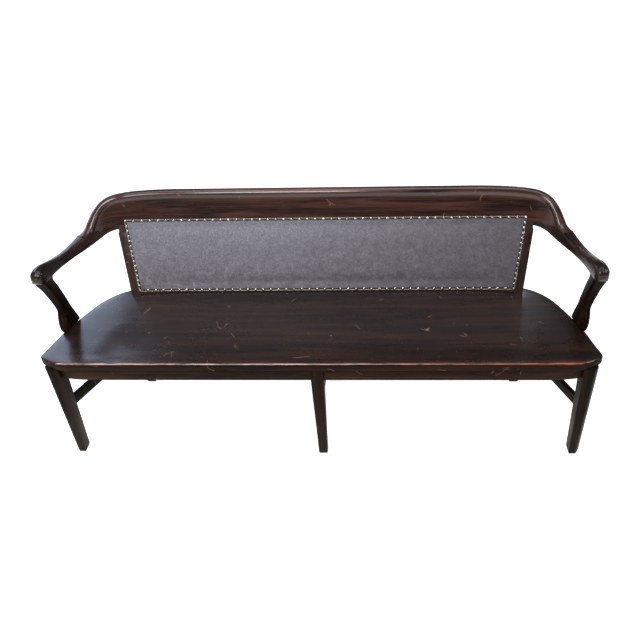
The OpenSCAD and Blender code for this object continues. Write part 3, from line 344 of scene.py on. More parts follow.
def front_arris_wear_and_highlight(tree, where, colour):
    """A brown rubbed band behind the seat's front arris, and the arris itself down to pink wood with a
    painted highlight.
    """
    place = add(tree, "ShaderNodeSeparateXYZ", {0: where})
    long_grain = add(tree, "ShaderNodeMapping", {"Vector": where}, {"Scale": (12, 120, 60)})
    patch = add(tree, "ShaderNodeTexNoise", {"Vector": long_grain.outputs[0]},
                {"Scale": 1, "Detail": 5, "Roughness": 0.65})
    above = add(tree, "ShaderNodeMapRange", {"Value": place.outputs["Z"]},
                {"From Min": (SEAT_H - SEAT_ROUND + WORN_ABOVE[0]) / 1000,
                 "From Max": (SEAT_H - SEAT_ROUND + WORN_ABOVE[1]) / 1000})
    band = add(tree, "ShaderNodeMapRange", {"Value": place.outputs["Y"]},
               {"From Min": FRONT + RUBBED_BAND[0] / 1000, "From Max": FRONT + RUBBED_BAND[1] / 1000})
    some = add(tree, "ShaderNodeMapRange", {"Value": patch.outputs[0]},
               {"From Min": 0.4, "From Max": 0.62, "To Min": 0.05, "To Max": 0.8})
    worn = add(tree, "ShaderNodeMath", {0: band.outputs[0], 1: some.outputs[0]}, operation="MULTIPLY")
    worn = add(tree, "ShaderNodeMath", {0: worn.outputs[0], 1: above.outputs[0]}, operation="MULTIPLY")
    colour = add(tree, "ShaderNodeMix", {0: worn.outputs[0], 6: colour}, {7: linear("#54332a")},
                 data_type="RGBA").outputs[2]
    # The arris is the strip where the top turns down to the front face: bare pink wood with a painted
    # highlight on it
    edge = add(tree, "ShaderNodeMapRange", {"Value": place.outputs["Y"]},
               {"From Min": FRONT + BARE_AND_LIT_ARRIS[0] / 1000, "From Max": FRONT + BARE_AND_LIT_ARRIS[1] / 1000})
    bits = add(tree, "ShaderNodeMapRange", {"Value": patch.outputs[0]},
               {"From Min": 0.42, "From Max": 0.56, "To Min": 0.12})
    arris = add(tree, "ShaderNodeMath", {0: edge.outputs[0], 1: above.outputs[0]}, operation="MULTIPLY")
    arris = add(tree, "ShaderNodeMath", {0: arris.outputs[0], 1: bits.outputs[0]}, operation="MULTIPLY")
    # Towards the right the bare wood and its painted highlight are more orange than pink
    side = add(tree, "ShaderNodeMapRange", {"Value": place.outputs["X"]},
               {"From Min": -0.2, "From Max": 0.7})
    bare_wood_and_highlight = add(tree, "ShaderNodeMix", {0: side.outputs[0]}, {6: linear("#d8b3a6"), 7: linear("#b4603a")},
               data_type="RGBA")
    return add(tree, "ShaderNodeMix", {0: arris.outputs[0], 6: colour, 7: bare_wood_and_highlight.outputs[2]},
               data_type="RGBA").outputs[2]


def seat_ring(y):
    """Outline of the seat across its length at depth y."""
    half = SEAT_LEN / 2 * smooth_at(y / SEAT_D, SEAT_EDGE)
    slope = SEAT_LEN / 4 * (smooth_at((y + 1) / SEAT_D, SEAT_EDGE) - smooth_at((y - 1) / SEAT_D, SEAT_EDGE))
    k = min(math.hypot(1, slope), ROUND_WIDENS)
    drop = SEAT_ROUND - math.sqrt(SEAT_ROUND ** 2 - (SEAT_ROUND - y) ** 2) if y < SEAT_ROUND else 0
    top, low, r = SEAT_H - drop, SEAT_H - SEAT_T + drop / 2, SEAT_ROUND
    scoop = SCOOP * smooth_at(y / SEAT_D, SCOOP_ROWS)
    rim = half - RIM_W * min(k, RIM_WIDENS)
    side = (arc((half - r * k, low + r), r * k, r, -90, 0, ROUND_STEPS)
            + arc((half - r * k, top - r), r * k, r, 0, 90, ROUND_STEPS)[1:])
    shares = [step / FALL_STEPS for step in range(FALL_STEPS + 1)]
    right_side = side + [(rim - RIM_FALL * f, top - scoop * (3 * f * f - 2 * f ** 3)) for f in shares]
    return [(x, y, z) for x, z in right_side] + [(-x, y, z) for x, z in reversed(right_side)]


# The edge finish, dry and dull, starts where the surface has turned this far down: the upright part
# of its normal. FIGURE_SHIFT keeps one board's figure from running on into the next.
EDGE_TURN, FIGURE_SHIFT = 0.55, 0.37
for i, part in enumerate(("front", "mid_front", "mid_rear", "rear")):
    y0, y1 = SEAT_D * i / BOARDS, SEAT_D * (i + 1) / BOARDS
    steps = round((y1 - y0) / SEAT_STEP)
    depths = [y0 + (y1 - y0) * k / steps for k in range(steps + 1)]
    if i == 0:
        depths = FRONT_ROWS + depths[1:]
    if i == BOARDS - 1:
        depths = depths[:-1] + [y1 - ahead_mm for ahead_mm in REAR_ROWS]
    wear_and_highlight = front_arris_wear_and_highlight if i == 0 else None
    finish = varnished_mahogany(f"worn_varnished_mahogany_board_{part}", "X", "#0c0806", "#211411",
                                "#432a1e", warmth=0.55, gloss=0.24, rubbed=0.10, coat=0.3, dents=0.12,
                                wear_and_highlight=wear_and_highlight, shift=FIGURE_SHIFT * i)
    edge = varnished_mahogany(f"dry_mahogany_edge_{part}", "X", "#0e0906", "#20130e", "#3d2418",
                              warmth=0.6, gloss=0.42, rubbed=0.16, coat=0, dents=0.08, wear_and_highlight=wear_and_highlight,
                              shift=FIGURE_SHIFT * i, shine=0.05)
    plank = lofted("seat_plank_" + part, [seat_ring(y) for y in depths], finish,
                   "seat_board_" + part)
    plank.data.materials.append(edge)
    for polygon in plank.data.polygons:
        polygon.material_index = int(polygon.normal.z < EDGE_TURN)


# Legs, rails and stretchers: square mahogany stock planed to a taper, tenoned and glued.
# The stain is olive brown and the varnish thin, so these pieces look drier than the seat.
# Points closer than WELD_MM are one, faces within FLAT_DEG are flat, and edges sharper than ARRIS_DEG
# are eased by the piece's own arris
WELD_MM, FLAT_DEG, ARRIS_DEG, SMOOTH_DEG = 0.02, 0.5, 40, 30
LEG_ARRIS, RAIL_ARRIS = 1.6, 1.2


def finished(name, node, material, arris_mm=0.0):
    """A piece made from a copy of its CAD node, merged, with its arrises eased and shaded smooth."""
    piece = bpy.data.objects.new(name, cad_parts[node].data.copy())
    bpy.context.scene.collection.objects.link(piece)
    piece.data.materials.clear()
    pick(piece)
    bpy.ops.object.mode_set(mode="EDIT")
    bpy.ops.mesh.select_all(action="SELECT")
    bpy.ops.mesh.remove_doubles(threshold=WELD_MM / 1000)
    bpy.ops.mesh.dissolve_limited(angle_limit=math.radians(FLAT_DEG))
    bpy.ops.object.mode_set(mode="OBJECT")
    if arris_mm:
        bevel = piece.modifiers.new("arris", "BEVEL")
        bevel.width = arris_mm / 1000
        bevel.segments = 2
        bevel.limit_method = "ANGLE"
        bevel.angle_limit = math.radians(ARRIS_DEG)
        bpy.ops.object.modifier_apply(modifier=bevel.name)
    bpy.ops.object.shade_smooth_by_angle(angle=math.radians(SMOOTH_DEG))
    piece.data.materials.append(material)
    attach(piece, "root")
    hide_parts(node)
    return piece


thin_varnish = dict(gloss=0.42, rubbed=0.2, coat=0, dents=0.05, shine=0.05)
leg_finish = varnished_mahogany("thin_varnish_on_leg_stock", "Z", "#0c0906", "#1d150e", "#3f2a19",
                                warmth=0.6, **thin_varnish)
rail_finish = varnished_mahogany("thin_varnish_on_rail_stock", "X", "#120c07", "#291b11", "#4d321d",
                                 warmth=0.8, **thin_varnish)
side_finish = varnished_mahogany("thin_varnish_on_end_stock", "Y", "#0c0906", "#1d150e", "#38261a",
                                 warmth=0.6, **thin_varnish)
for row in ("front", "rear"):
    for place in ("left", "centre", "right"):
        finished(f"{row}_leg_{place}_planed", f"{row}_leg_{place}", leg_finish, LEG_ARRIS)
    for place in ("left", "right"):
        finished(f"{row}_rail_{place}_planed", f"{row}_rail_{place}", rail_finish, RAIL_ARRIS)
for place in ("left", "centre", "right"):
    finished(f"stretcher_{place}_planed", f"stretcher_{place}", side_finish, RAIL_ARRIS)
for place in ("left", "right"):
    finished(f"side_rail_{place}_planed", f"side_rail_{place}", side_finish, RAIL_ARRIS)


# Back frame: two splayed stiles, a middle stile behind the panel, and a top and a bottom rail,
# tenoned together. Dark mahogany with a satin varnish.
STILE_ARRIS, MIDDLE_ARRIS = 1.5, 1.0
stile_finish = varnished_mahogany("satin_varnish_on_stile", "Z", "#150d0b", "#2c1a16", "#4c2f26",
                                  warmth=0.7, gloss=0.28, rubbed=0.14, coat=0.2, dents=0.05, shine=0.35)
frame_finish = varnished_mahogany("satin_varnish_on_back_rail", "X", "#17100e", "#2c1c18", "#45291f",
                                  warmth=0.5, gloss=0.28, rubbed=0.14, coat=0.3, dents=0.05)
for place in ("left", "right"):
    finished(f"stile_{place}_planed", f"stile_{place}", stile_finish, STILE_ARRIS)
finished("middle_stile_planed", "middle_stile", stile_finish, MIDDLE_ARRIS)
finished("bottom_rail_planed", "back_rail_bottom", frame_finish)
finished("top_rail_planed", "back_rail_top", frame_finish)


# Crest: a leaning mahogany board worked with a roll along its top, steamed round at its ends
# and feathered out onto the arms. Backs and hands have polished it.
# RAKE is the lean of the back, SWEEP how far its ends come forward, and ARM_TOP the height of the
# joint where the crest lies on the arms
RAKE = math.radians(24)
BACK_Y, FRAME_T, SWEEP = 455, 32, 17
ARM_TOP, ARM_T, ARM_X, ARM_W, ARM_TIP_Y = 712, 27, 971, 47, 150
CREST_RISE, ROLL_D, FEATHER, ROLL_STEPS, COVE, COVE_STEPS = 92, 42, 1.5, 28, 6, 4
BACK_MID_Y = BACK_Y + (ARM_TOP - SEAT_H) * math.tan(RAKE) + FRAME_T / 2 / math.cos(RAKE)
BOW_REACH = BACK_MID_Y - ARM_TIP_Y
# The bow's middle line and section, from the straight part to the hand end, as shares:
# run outwards, run forwards, lean of the crest, half width, lean of the arm
BOW = np.array([
    [0.5755, 0, 1, 0.681, 1], [0.668, 0.0068, 1, 0.681, 1], [0.740, 0.0215, 1, 0.681, 1],
    [0.797, 0.039, 1, 0.681, 1], [0.840, 0.052, 1, 0.68, 1], [0.874, 0.080, 0.96, 0.66, 0.97],
    [0.901, 0.123, 0.84, 0.67, 0.93], [0.922, 0.178, 0.64, 0.73, 0.90], [0.938, 0.240, 0.42, 0.80, 0.90],
    [0.950, 0.312, 0.20, 0.86, 0.88], [0.961, 0.404, 0.08, 0.83, 0.74], [0.972, 0.518, 0, 0.82, 0.36],
    [0.982, 0.645, 0, 0.82, 0.14], [0.990, 0.771, 0, 0.88, 0], [0.997, 0.874, 0, 0.97, 0],
    [1, 0.945, 0, 0.99, 0], [1, 0.974, 0, 0.90, 0], [1, 0.991, 0, 0.72, 0], [1, 1, 0, 0.45, 0]])
# The straight rows, the share of the half length over which the ends come forward by SWEEP, the
# rings to a row, and how close two places are for the bow's direction
BOW_FLAT, SAG_RUN, ROW_RINGS, ROW_STEP, TIP_ROWS = 3, 0.2215, 10, 0.01, 0.1
# The crest's height at each row, as a share. CREST_TIP is the row of its feathered tip, the cove lies
# between COVE_LEAST and COVE_SHARE of the face under it, and the roll laps the board by ROLL_LAP.
CREST_TOP = np.array([1, 1, 0.995, 0.975, 0.925, 0.81, 0.61, 0.375, 0.15, 0.035, -0.1])
CREST_TIP, COVE_LEAST, COVE_SHARE, ROLL_LAP = 9, 0.3, 0.3, 0.01
BOW_SMOOTH_DEG = 60


def sag(x):
    """How far the back's ends come forward at x."""
    return SWEEP * max(0, (abs(x) / ARM_X - BOW[0, 0]) / SAG_RUN) ** 2


BOW[:BOW_FLAT + 1, 1] = [sag(x * ARM_X) / BOW_REACH for x in BOW[:BOW_FLAT + 1, 0]]


def between(rows, u):
    """Smooth value between the rows of a table, at u rows from its start."""
    i = min(int(u), len(rows) - 2)
    f = u - i
    a, b, c, d = (rows[min(max(k, 0), len(rows) - 1)] for k in (i - 1, i, i + 1, i + 2))
    return b + f / 2 * (c - a + f * (2 * a - 5 * b + 4 * c - d + f * (3 * (b - c) + d - a)))


def bow_point(u):
    """The bow's middle line at row u, in plan."""
    x = between(BOW[:, 0], u) * ARM_X
    return np.array([x, BACK_MID_Y - (sag(x) if u <= BOW_FLAT else between(BOW[:, 1], u) * BOW_REACH)])


def bow_place(u, out, z):
    """A point at height z above the joint, out across the bow at row u."""
    step = bow_point(u + ROW_STEP) - bow_point(max(0, u - ROW_STEP))
    d = step / np.linalg.norm(step)
    if u < ROW_STEP:
        d = (1, 0)
    if u > len(BOW) - 1 - TIP_ROWS:
        d = (0, -1)
    p = bow_point(u)
    return (p[0] - d[1] * out, p[1] + d[0] * out, ARM_TOP + z)


def bow_half(u):
    """Half the bow's width at row u: the back frame's along the straight part, then the arm's."""
    f = max(0, min(1, BOW_FLAT + 1 - u))
    return f * FRAME_T / 2 + (1 - f) * between(BOW[:, 3], u) * ARM_W / 2


def crest_ring(u):
    """Section of the crest at row u: its two faces, a small cove under the roll, and the roll."""
    lean, half = RAKE * between(BOW[:, 2], u), bow_half(u)
    top = between(CREST_TOP, u) * (CREST_RISE + ROLL_D / 2)
    up = min(ROLL_D / 2, top - FEATHER)
    mid, wide = top - up, max(ROLL_D / 2, half + ROLL_LAP)
    under = math.acos(half / wide)
    neck = -up * math.sin(under)
    foot = (-half * math.sin(lean) - mid) / math.cos(lean)
    cove = max(COVE_LEAST, min(COVE, COVE_SHARE * (neck - foot)))
    turn = cove / wide

    def on_roll(a):
        return np.array([wide * math.cos(a), up * math.sin(a)])

    start = math.pi + under - turn
    a, b, c = np.array([-half, neck - cove]), np.array([-half, neck]), on_roll(start)
    fillet = [a * (1 - f) ** 2 + 2 * b * f * (1 - f) + c * f * f
              for f in np.linspace(0, 1, COVE_STEPS + 1)[:-1]]
    roll = [on_roll(start - k * (2 * start - math.pi) / ROLL_STEPS) for k in range(ROLL_STEPS + 1)]
    back = [p * (-1, 1) for p in reversed(fillet)]
    ring = [bow_place(u, -half / math.cos(lean), 0)]
    for t, s in fillet + roll + back:
        z = max(FEATHER, mid + s * math.cos(lean) - t * math.sin(lean))
        ring.append(bow_place(u, mid * math.tan(lean) + t * math.cos(lean) + s * math.sin(lean), z))
    return ring + [bow_place(u, half / math.cos(lean), 0)]


def mirrored(ring):
    """The same ring on the left half of the bench."""
    return [(-x, y, z) for x, y, z in ring]


crest_finish = varnished_mahogany("satin_varnish_on_crest", "grain", "#120a08", "#331e19", "#603a30",
                                  warmth=0.85, gloss=0.17, rubbed=0.10, coat=0.45, dents=0.12, shine=0.4)
right_half = [crest_ring(k / ROW_RINGS) for k in range(CREST_TIP * ROW_RINGS + 1)]
lofted("crest_board", [mirrored(r) for r in reversed(right_half)] + right_half, crest_finish,
       "crest", BOW_SMOOTH_DEG)


# Arms: each is sawn in one piece with the end of the bow and its raised, rounded hand end, which
# is worn to a polish.
# Row where the arm begins, and its top, underside and roundness at each row of the bow, as shares
ARM_START = 4
ARM_TOP_ROWS = np.array([0, 0, 0, 0, 0, 0, 0, 0, 0, 0, -0.10, -0.16, 0, 0.48, 0.90, 0.86, 0.62, 0.35, 0.05])
ARM_LOW_ROWS = np.array([-0.5, -0.5, -0.5, -0.5, -0.53, -0.68, -0.90, -1.12, -1.2, -1.24, -1.25, -1.22,
                         -1.12, -1, -1, -1, -0.94, -0.80, -0.55])
ARM_ROUND = np.array([0.01, 0.01, 0.01, 0.01, 0.01, 0.01, 0.01, 0.01, 0.01, 0.12, 0.28, 0.35, 0.38,
                      0.6, 0.75, 0.8, 0.8, 0.75, 0.6])
ARM_CROWN, UNDER_ROUND, TIP_DOME, ARM_ROUND_LEAST = 2, 3, 4, 0.3
CROWN_STEPS, ARM_STEPS, UNDER_STEPS = 4, 8, 3
# Rows over the post, where the underside is flat, and the turns of the rings that close the tip
FLAT_UNDER, TIP_TURNS = (13, 15), (25, 50, 72)


def arm_ring(u):
    """Section of the arm at row u: crowned top, eased sides and a flat underside."""
    lean, half = RAKE * between(BOW[:, 4], u), bow_half(u)
    top = between(ARM_TOP_ROWS, u) * ARM_T
    low = (-1 if FLAT_UNDER[0] < u < FLAT_UNDER[1] else between(ARM_LOW_ROWS, u)) * ARM_T
    r = max(ARM_ROUND_LEAST, between(ARM_ROUND, u) * half)
    q, crown = min(UNDER_ROUND, r), 0 if u < CREST_TIP else ARM_CROWN
    shares = [1 - k / CROWN_STEPS for k in range(1, 2 * CROWN_STEPS)]
    over = [(-(half - r) * f, top + crown * (1 - f ** 2)) for f in shares]
    section = (arc((q - half, low + q), q, q, 270, 180, UNDER_STEPS)
               + arc((r - half, top - r), r, r, 180, 90, ARM_STEPS) + over
               + arc((half - r, top - r), r, r, 90, 0, ARM_STEPS)
               + arc((half - q, low + q), q, q, 0, -90, UNDER_STEPS))
    return [bow_place(u, x / math.cos(lean) + z * math.tan(lean), z) for x, z in section]


rings = [arm_ring(ARM_START + k / ROW_RINGS) for k in range(ROW_RINGS * (len(BOW) - 1 - ARM_START) + 1)]
tip = np.array(rings[-1])
for a in TIP_TURNS:
    ring = tip.mean(axis=0) + (tip - tip.mean(axis=0)) * math.cos(math.radians(a))
    ring[:, 1] -= TIP_DOME * math.sin(math.radians(a))
    rings.append([tuple(p) for p in ring])
arm_finish = varnished_mahogany("hand_polished_arm", "Y", "#0f0907", "#21140f", "#43271b", warmth=0.6,
                                gloss=0.22, rubbed=0.10, coat=0, shine=0.3, pore_depth=0.03)
lofted("bow_arm_right", rings, arm_finish, "arm_right", BOW_SMOOTH_DEG)
lofted("bow_arm_left", [mirrored(r) for r in rings], arm_finish, "arm_left", BOW_SMOOTH_DEG)


# Arm posts: short S-curved legs of mahogany, dowelled to the seat's rim and up into the hand ends.
# Little light reaches them and their varnish has worn thin, so they look nearly black.
POST_FOOT_Y, POST_FOOT_D, POST_ROUND, POST_TWIST = 184, 97, 9, 7
POST_STEPS, POST_ROW_RINGS = 5, 6
POST_H = ARM_TOP - ARM_T - SEAT_H
# Height, front edge, depth, inward set and width, as shares
POST = np.array([
    [0, 0, 1, 0.18, 0.46], [0.04, -0.01, 1.01, 0.17, 0.54], [0.114, 0.062, 0.895, 0.15, 0.66],
    [0.19, 0.165, 0.745, 0.13, 0.72], [0.254, 0.27, 0.59, 0.11, 0.76], [0.32, 0.345, 0.472, 0.095, 0.77],
    [0.44, 0.31, 0.461, 0.075, 0.80], [0.583, 0.225, 0.469, 0.045, 0.85], [0.75, 0.095, 0.49, 0.025, 0.91],
    [0.87, -0.04, 0.515, 0.01, 0.95], [0.925, -0.10, 0.523, 0, 0.98], [0.978, -0.16, 0.62, 0, 1],
    [1, -0.18, 0.71, 0, 1]])


def post_ring(u):
    """Section of the post at row u: a rounded oblong, its foot turned to the seat's edge."""
    up, front, deep, inward, wide = between(POST, u)
    y0 = POST_FOOT_Y + front * POST_FOOT_D
    y1 = y0 + deep * POST_FOOT_D
    x0 = ARM_X - ARM_W / 2 - inward * ARM_W
    x1, r = x0 + wide * ARM_W, POST_ROUND
    ring = (arc((x0 + r, y0 + r), r, r, 270, 180, POST_STEPS)
            + arc((x0 + r, y1 - r), r, r, 180, 90, POST_STEPS)
            + arc((x1 - r, y1 - r), r, r, 90, 0, POST_STEPS)
            + arc((x1 - r, y0 + r), r, r, 0, -90, POST_STEPS))
    turn = math.tan(math.radians(POST_TWIST)) * (1 - up)
    return [(x - (y - POST_FOOT_Y - POST_FOOT_D / 2) * turn, y, SEAT_H + up * POST_H) for x, y in ring]


post_finish = varnished_mahogany("satin_varnish_on_post", "Z", "#0d0806", "#1b110c", "#352014",
                                 warmth=0.55, gloss=0.34, rubbed=0.14, coat=0, shine=0.015)
rings = [post_ring(k / POST_ROW_RINGS) for k in range(POST_ROW_RINGS * (len(POST) - 1) + 1)]
lofted("curved_post_right", rings, post_finish, "arm_post_right")
lofted("curved_post_left", [mirrored(r) for r in rings], post_finish, "arm_post_left")


# Hidden timber: softwood blocks glued into the corners, beech dowels, and the board behind the
# padding. They were never varnished, so they are dull, dusty and pale.
bare_finish = varnished_mahogany("bare_dusty_softwood", "X", "#4b3b2a", "#6e583f", "#7f6647", warmth=0.5,
                                 gloss=0.7, rubbed=0.15, coat=0)
for node in ("corner_blocks", "glue_blocks", "backing_board", "post_dowels", "crest_dowels", "stile_dowels"):
    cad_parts[node].data.materials.clear()
    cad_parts[node].data.materials.append(bare_finish)


# Panel: hair stuffing under slate grey leather, drawn tight over the opening and nailed to the
# frame all round. The leather swells most in the middle and dips at every nail.
# SPLAY is how much wider the back gets for each millimetre up its face, to either side
REBATE, BOARD_T, GAP, FACE_GAP, PAD_CROWN, LEATHER_T = 10, 6, 0.15, 0.3, 9, 1.8
STILE_X, STILE_W, SPLAY, RAIL_H, STRIP_W, STRIP_T = 783, 60, 0.133 * math.cos(RAKE), 52, 9, 1.2
PAD_LOW = RAIL_H - REBATE + GAP
PAD_HIGH = (ARM_TOP - ARM_T - SEAT_H) / math.cos(RAKE) + REBATE - GAP
LEATHER_LOW, LEATHER_MARGIN, LEATHER_LAP = 4, 17, 3
LEATHER_HIGH = (ARM_TOP - SEAT_H) / math.cos(RAKE) + STRIP_W + LEATHER_LAP
# How square the swell is across the panel and up it
SQUARE_ACROSS, SQUARE_UP = 6, 3
NAIL_D, NAIL_RISE, NAIL_PITCH, NAIL_PITCH_SIDE = 11.5, 3.6, 31, 19


def pad_half(s):
    """Half the stuffing's width at s up the back."""
    return STILE_X - STILE_W + SPLAY * s + REBATE - GAP


def leather_half(s):
    """Half the leather's width at s up the back."""
    return STILE_X - STILE_W + SPLAY * s + REBATE + LEATHER_MARGIN


def face(x):
    """The face of the back frame at x, which comes forward at its ends."""
    return -sag(x) * math.cos(RAKE)


def on_back(x, t, s):
    """A point of the leaning back, t behind its face and s up it, in mm from the seat's front edge."""
    return (x, BACK_Y + t * math.cos(RAKE) + s * math.sin(RAKE),
            SEAT_H - t * math.sin(RAKE) + s * math.cos(RAKE))


def swell(x, s):
    """How far the stuffing stands out at x and s."""
    c, r = abs(x) / pad_half(s), (s - PAD_LOW) / (PAD_HIGH - PAD_LOW)
    if c >= 1 or not 0 < r < 1:
        return 0
    return PAD_CROWN * (1 - c ** SQUARE_ACROSS) * (1 - abs(2 * r - 1) ** SQUARE_UP)


def behind(x, s):
    """The leather's hidden side at x and s: on the board in the opening, and on the frame round it."""
    over_board = abs(x) < pad_half(s) and PAD_LOW < s < PAD_HIGH
    return face(x) + (BOARD_T - GAP if over_board else -FACE_GAP)


nails_at = []
s0, s1 = LEATHER_LOW + STRIP_W / 2, LEATHER_HIGH - STRIP_W / 2
for s in (s0, s1):
    half = leather_half(s) - STRIP_W / 2
    count = int(2 * half // NAIL_PITCH)
    nails_at += [(-half + 2 * half * i / count, s) for i in range(count + 1)]
count = int((s1 - s0) // NAIL_PITCH_SIDE)
for s in [s0 + (s1 - s0) * i / count for i in range(1, count)]:
    nails_at += [(m * (leather_half(s) - STRIP_W / 2), s) for m in (-1, 1)]
nails_at = np.array(nails_at)

# The leather as a net of points. NAIL_HOLD: how far past the strip it is held. DIP_REACH: how far a
# nail's dip reaches. RIDGE: how far the leather stands out between two nails.
COLUMNS, ROWS = 261, 47
NAIL_HOLD, DIP_REACH, RIDGE = 1.5, 9, 0.9
net, held, full = [], [], []
for j in range(ROWS):
    s = LEATHER_LOW + (LEATHER_HIGH - LEATHER_LOW) * j / (ROWS - 1)
    for i in range(COLUMNS):
        x = leather_half(s) * (2 * i / (COLUMNS - 1) - 1)
        edge = min(leather_half(s) - abs(x), s - LEATHER_LOW, LEATHER_HIGH - s)
        # Between two nails the leather stands in a low ridge, which fades out over the panel
        near = np.exp(-(np.hypot(nails_at[:, 0] - x, nails_at[:, 1] - s) / DIP_REACH) ** 2).max()
        ridge = RIDGE * (1 - near) * math.exp((STRIP_W - edge) / DIP_REACH) if edge > STRIP_W else 0
        net.append((x, face(x) - FACE_GAP - LEATHER_T - ridge, s))
        held.append(edge <= STRIP_W + NAIL_HOLD)
        full.append(swell(x, s))
net, held, full = np.array(net), np.array(held), np.array(full)
count = COLUMNS * ROWS
quads = [(j * COLUMNS + i, j * COLUMNS + i + 1, (j + 1) * COLUMNS + i + 1, (j + 1) * COLUMNS + i)
         for j in range(ROWS - 1) for i in range(COLUMNS - 1)]
# Frames of the cloth simulation, and the most that the leather swells: this factor on the stuffing's
# own form, and SLACK millimetres
CLOTH_FRAMES, FULLEST, SLACK = 16, 1.35, 0.5
flat = net[:, 1].copy()
net[:, 1] -= full
# The stuffing pushes the leather out, and the nailed edge holds it
hide = meshed("leather_sheet", [in_room(on_back(*p)) for p in net], quads)
nailed = hide.vertex_groups.new(name="nailed")
nailed.add([k for k, h in enumerate(held) if h], 1.0, "REPLACE")
cloth = hide.modifiers.new("stuffing", "CLOTH")
cloth.settings.quality = 5
cloth.settings.mass = 0.4
cloth.settings.tension_stiffness = cloth.settings.compression_stiffness = 40
cloth.settings.shear_stiffness = 20
cloth.settings.bending_stiffness = 2
cloth.settings.vertex_group_mass = "nailed"
cloth.settings.use_pressure = True
cloth.settings.uniform_pressure_force = 4
cloth.settings.effector_weights.gravity = 0
cloth.point_cache.frame_start, cloth.point_cache.frame_end = 1, CLOTH_FRAMES
for number in range(1, CLOTH_FRAMES + 1):
    bpy.context.scene.frame_set(number)
bpy.ops.object.modifier_apply(modifier=cloth.name)
bpy.context.scene.frame_set(1)
# Out of the leaning frame again: no slacker than the stuffing's own form, and not much fuller
points = np.array([v.co for v in hide.data.vertices]) * 1000
y, z = points[:, 1] - FRONT * 1000 - BACK_Y, points[:, 2] - SEAT_H
out_by = flat - (y * math.cos(RAKE) - z * math.sin(RAKE))
net[:, 1] = flat - np.where(held, 0, np.clip(out_by, full, FULLEST * full + SLACK))
bpy.data.objects.remove(hide)

back = [(x, behind(x, s), s) for x, _, s in net]
rim = ([(0, i) for i in range(COLUMNS)] + [(j, COLUMNS - 1) for j in range(1, ROWS)]
       + [(ROWS - 1, i) for i in range(COLUMNS - 2, -1, -1)] + [(j, 0) for j in range(ROWS - 2, 0, -1)])
rim = [j * COLUMNS + i for j, i in rim]
faces = quads + [tuple(count + k for k in reversed(q)) for q in quads]
faces += [(a, count + a, count + b, b) for a, b in zip(rim, rim[1:] + rim[:1])]
pad = meshed("leather_pad", [in_room(on_back(*p)) for p in list(map(tuple, net)) + back], faces)
face_outwards(pad, ROUND_SMOOTH_DEG)

# Worn vegetable-tanned hide: slate with a purple cast and fine creases, which gives a matt, leathery
# speckle. A painted sheen makes it paler and bluer at the top left, and it is warmer and darker to the
# right and the bottom.
leather_finish, tree, out = new_material("worn_slate_hide")
where = add(tree, "ShaderNodeTexCoord").outputs["Object"]
ruffle = add(tree, "ShaderNodeTexNoise", {"Vector": where}, {"Scale": 60, "Detail": 3, "Roughness": 0.6})
bent = add(tree, "ShaderNodeMix", {4: where, 5: ruffle.outputs["Color"]}, {0: 0.03},
           data_type="VECTOR").outputs[1]
# Creases: crooked cells 9.5 mm across, longer upwards than across, and finer ones of 3.7 mm
tall = add(tree, "ShaderNodeMapping", {"Vector": bent}, {"Scale": (1, 1, 0.7)})
coarse = add(tree, "ShaderNodeTexVoronoi", {"Vector": tall.outputs[0]}, {"Scale": 105},
             feature="DISTANCE_TO_EDGE")
small = add(tree, "ShaderNodeTexVoronoi", {"Vector": tall.outputs[0]}, {"Scale": 270},
            feature="DISTANCE_TO_EDGE")
deep = add(tree, "ShaderNodeMapRange", {"Value": coarse.outputs["Distance"]},
           {"From Min": 0.0, "From Max": 0.15, "To Min": 1, "To Max": 0})
fine = add(tree, "ShaderNodeMapRange", {"Value": small.outputs["Distance"]},
           {"From Min": 0.0, "From Max": 0.22, "To Min": 0.7, "To Max": 0})
crease = add(tree, "ShaderNodeMath", {0: deep.outputs[0], 1: fine.outputs[0]},
             operation="MAXIMUM").outputs[0]
# Mottle in two sizes: 28 mm blotches and 6 mm specks
blotch = add(tree, "ShaderNodeTexNoise", {"Vector": where},
             {"Scale": 36, "Detail": 4, "Roughness": 0.6, "Distortion": 0.4})
speck = add(tree, "ShaderNodeTexNoise", {"Vector": where}, {"Scale": 170, "Detail": 4, "Roughness": 0.7})
tone = add(tree, "ShaderNodeValToRGB", {0: blotch.outputs[0]},
           stops=[(0.30, "#6c676f"), (0.50, "#807c85"), (0.70, "#949099")])
# Painted sheen: paler and bluer towards the top of the leaning panel, less so towards the right, where it
# turns warmer and darker
place = add(tree, "ShaderNodeSeparateXYZ", {0: where})
rightward = add(tree, "ShaderNodeMapRange", {"Value": place.outputs["X"]},
                {"From Min": -0.15, "From Max": 0.75, "To Max": 0.62})
sheen_upward = add(tree, "ShaderNodeMapRange", {"Value": place.outputs["Z"]},
             {"From Min": 0.49, "From Max": 0.68, "To Max": 0.5})
painted_sheen = add(tree, "ShaderNodeMath", {0: sheen_upward.outputs[0], 1: rightward.outputs[0]}, operation="SUBTRACT",
            use_clamp=True)
grit = add(tree, "ShaderNodeMapRange", {"Value": speck.outputs[0]},
           {"From Min": 0.46, "From Max": 0.68, "To Max": 0.55})
faint = add(tree, "ShaderNodeMath", {0: crease}, {1: 0.6}, operation="MULTIPLY")
colour = tone.outputs[0]
for share, hex_code in ((painted_sheen, "#8f939e"), (rightward, "#574e52"), (grit, "#4c464d"), (faint, "#3a353b")):
    colour = add(tree, "ShaderNodeMix", {0: share.outputs[0], 6: colour}, {7: linear(hex_code)},
                 data_type="RGBA").outputs[2]
rise = add(tree, "ShaderNodeMath", {0: speck.outputs[0], 1: crease}, operation="SUBTRACT")
relief = add(tree, "ShaderNodeBump", {"Height": rise.outputs[0]}, {"Strength": 0.6, "Distance": 0.0008})
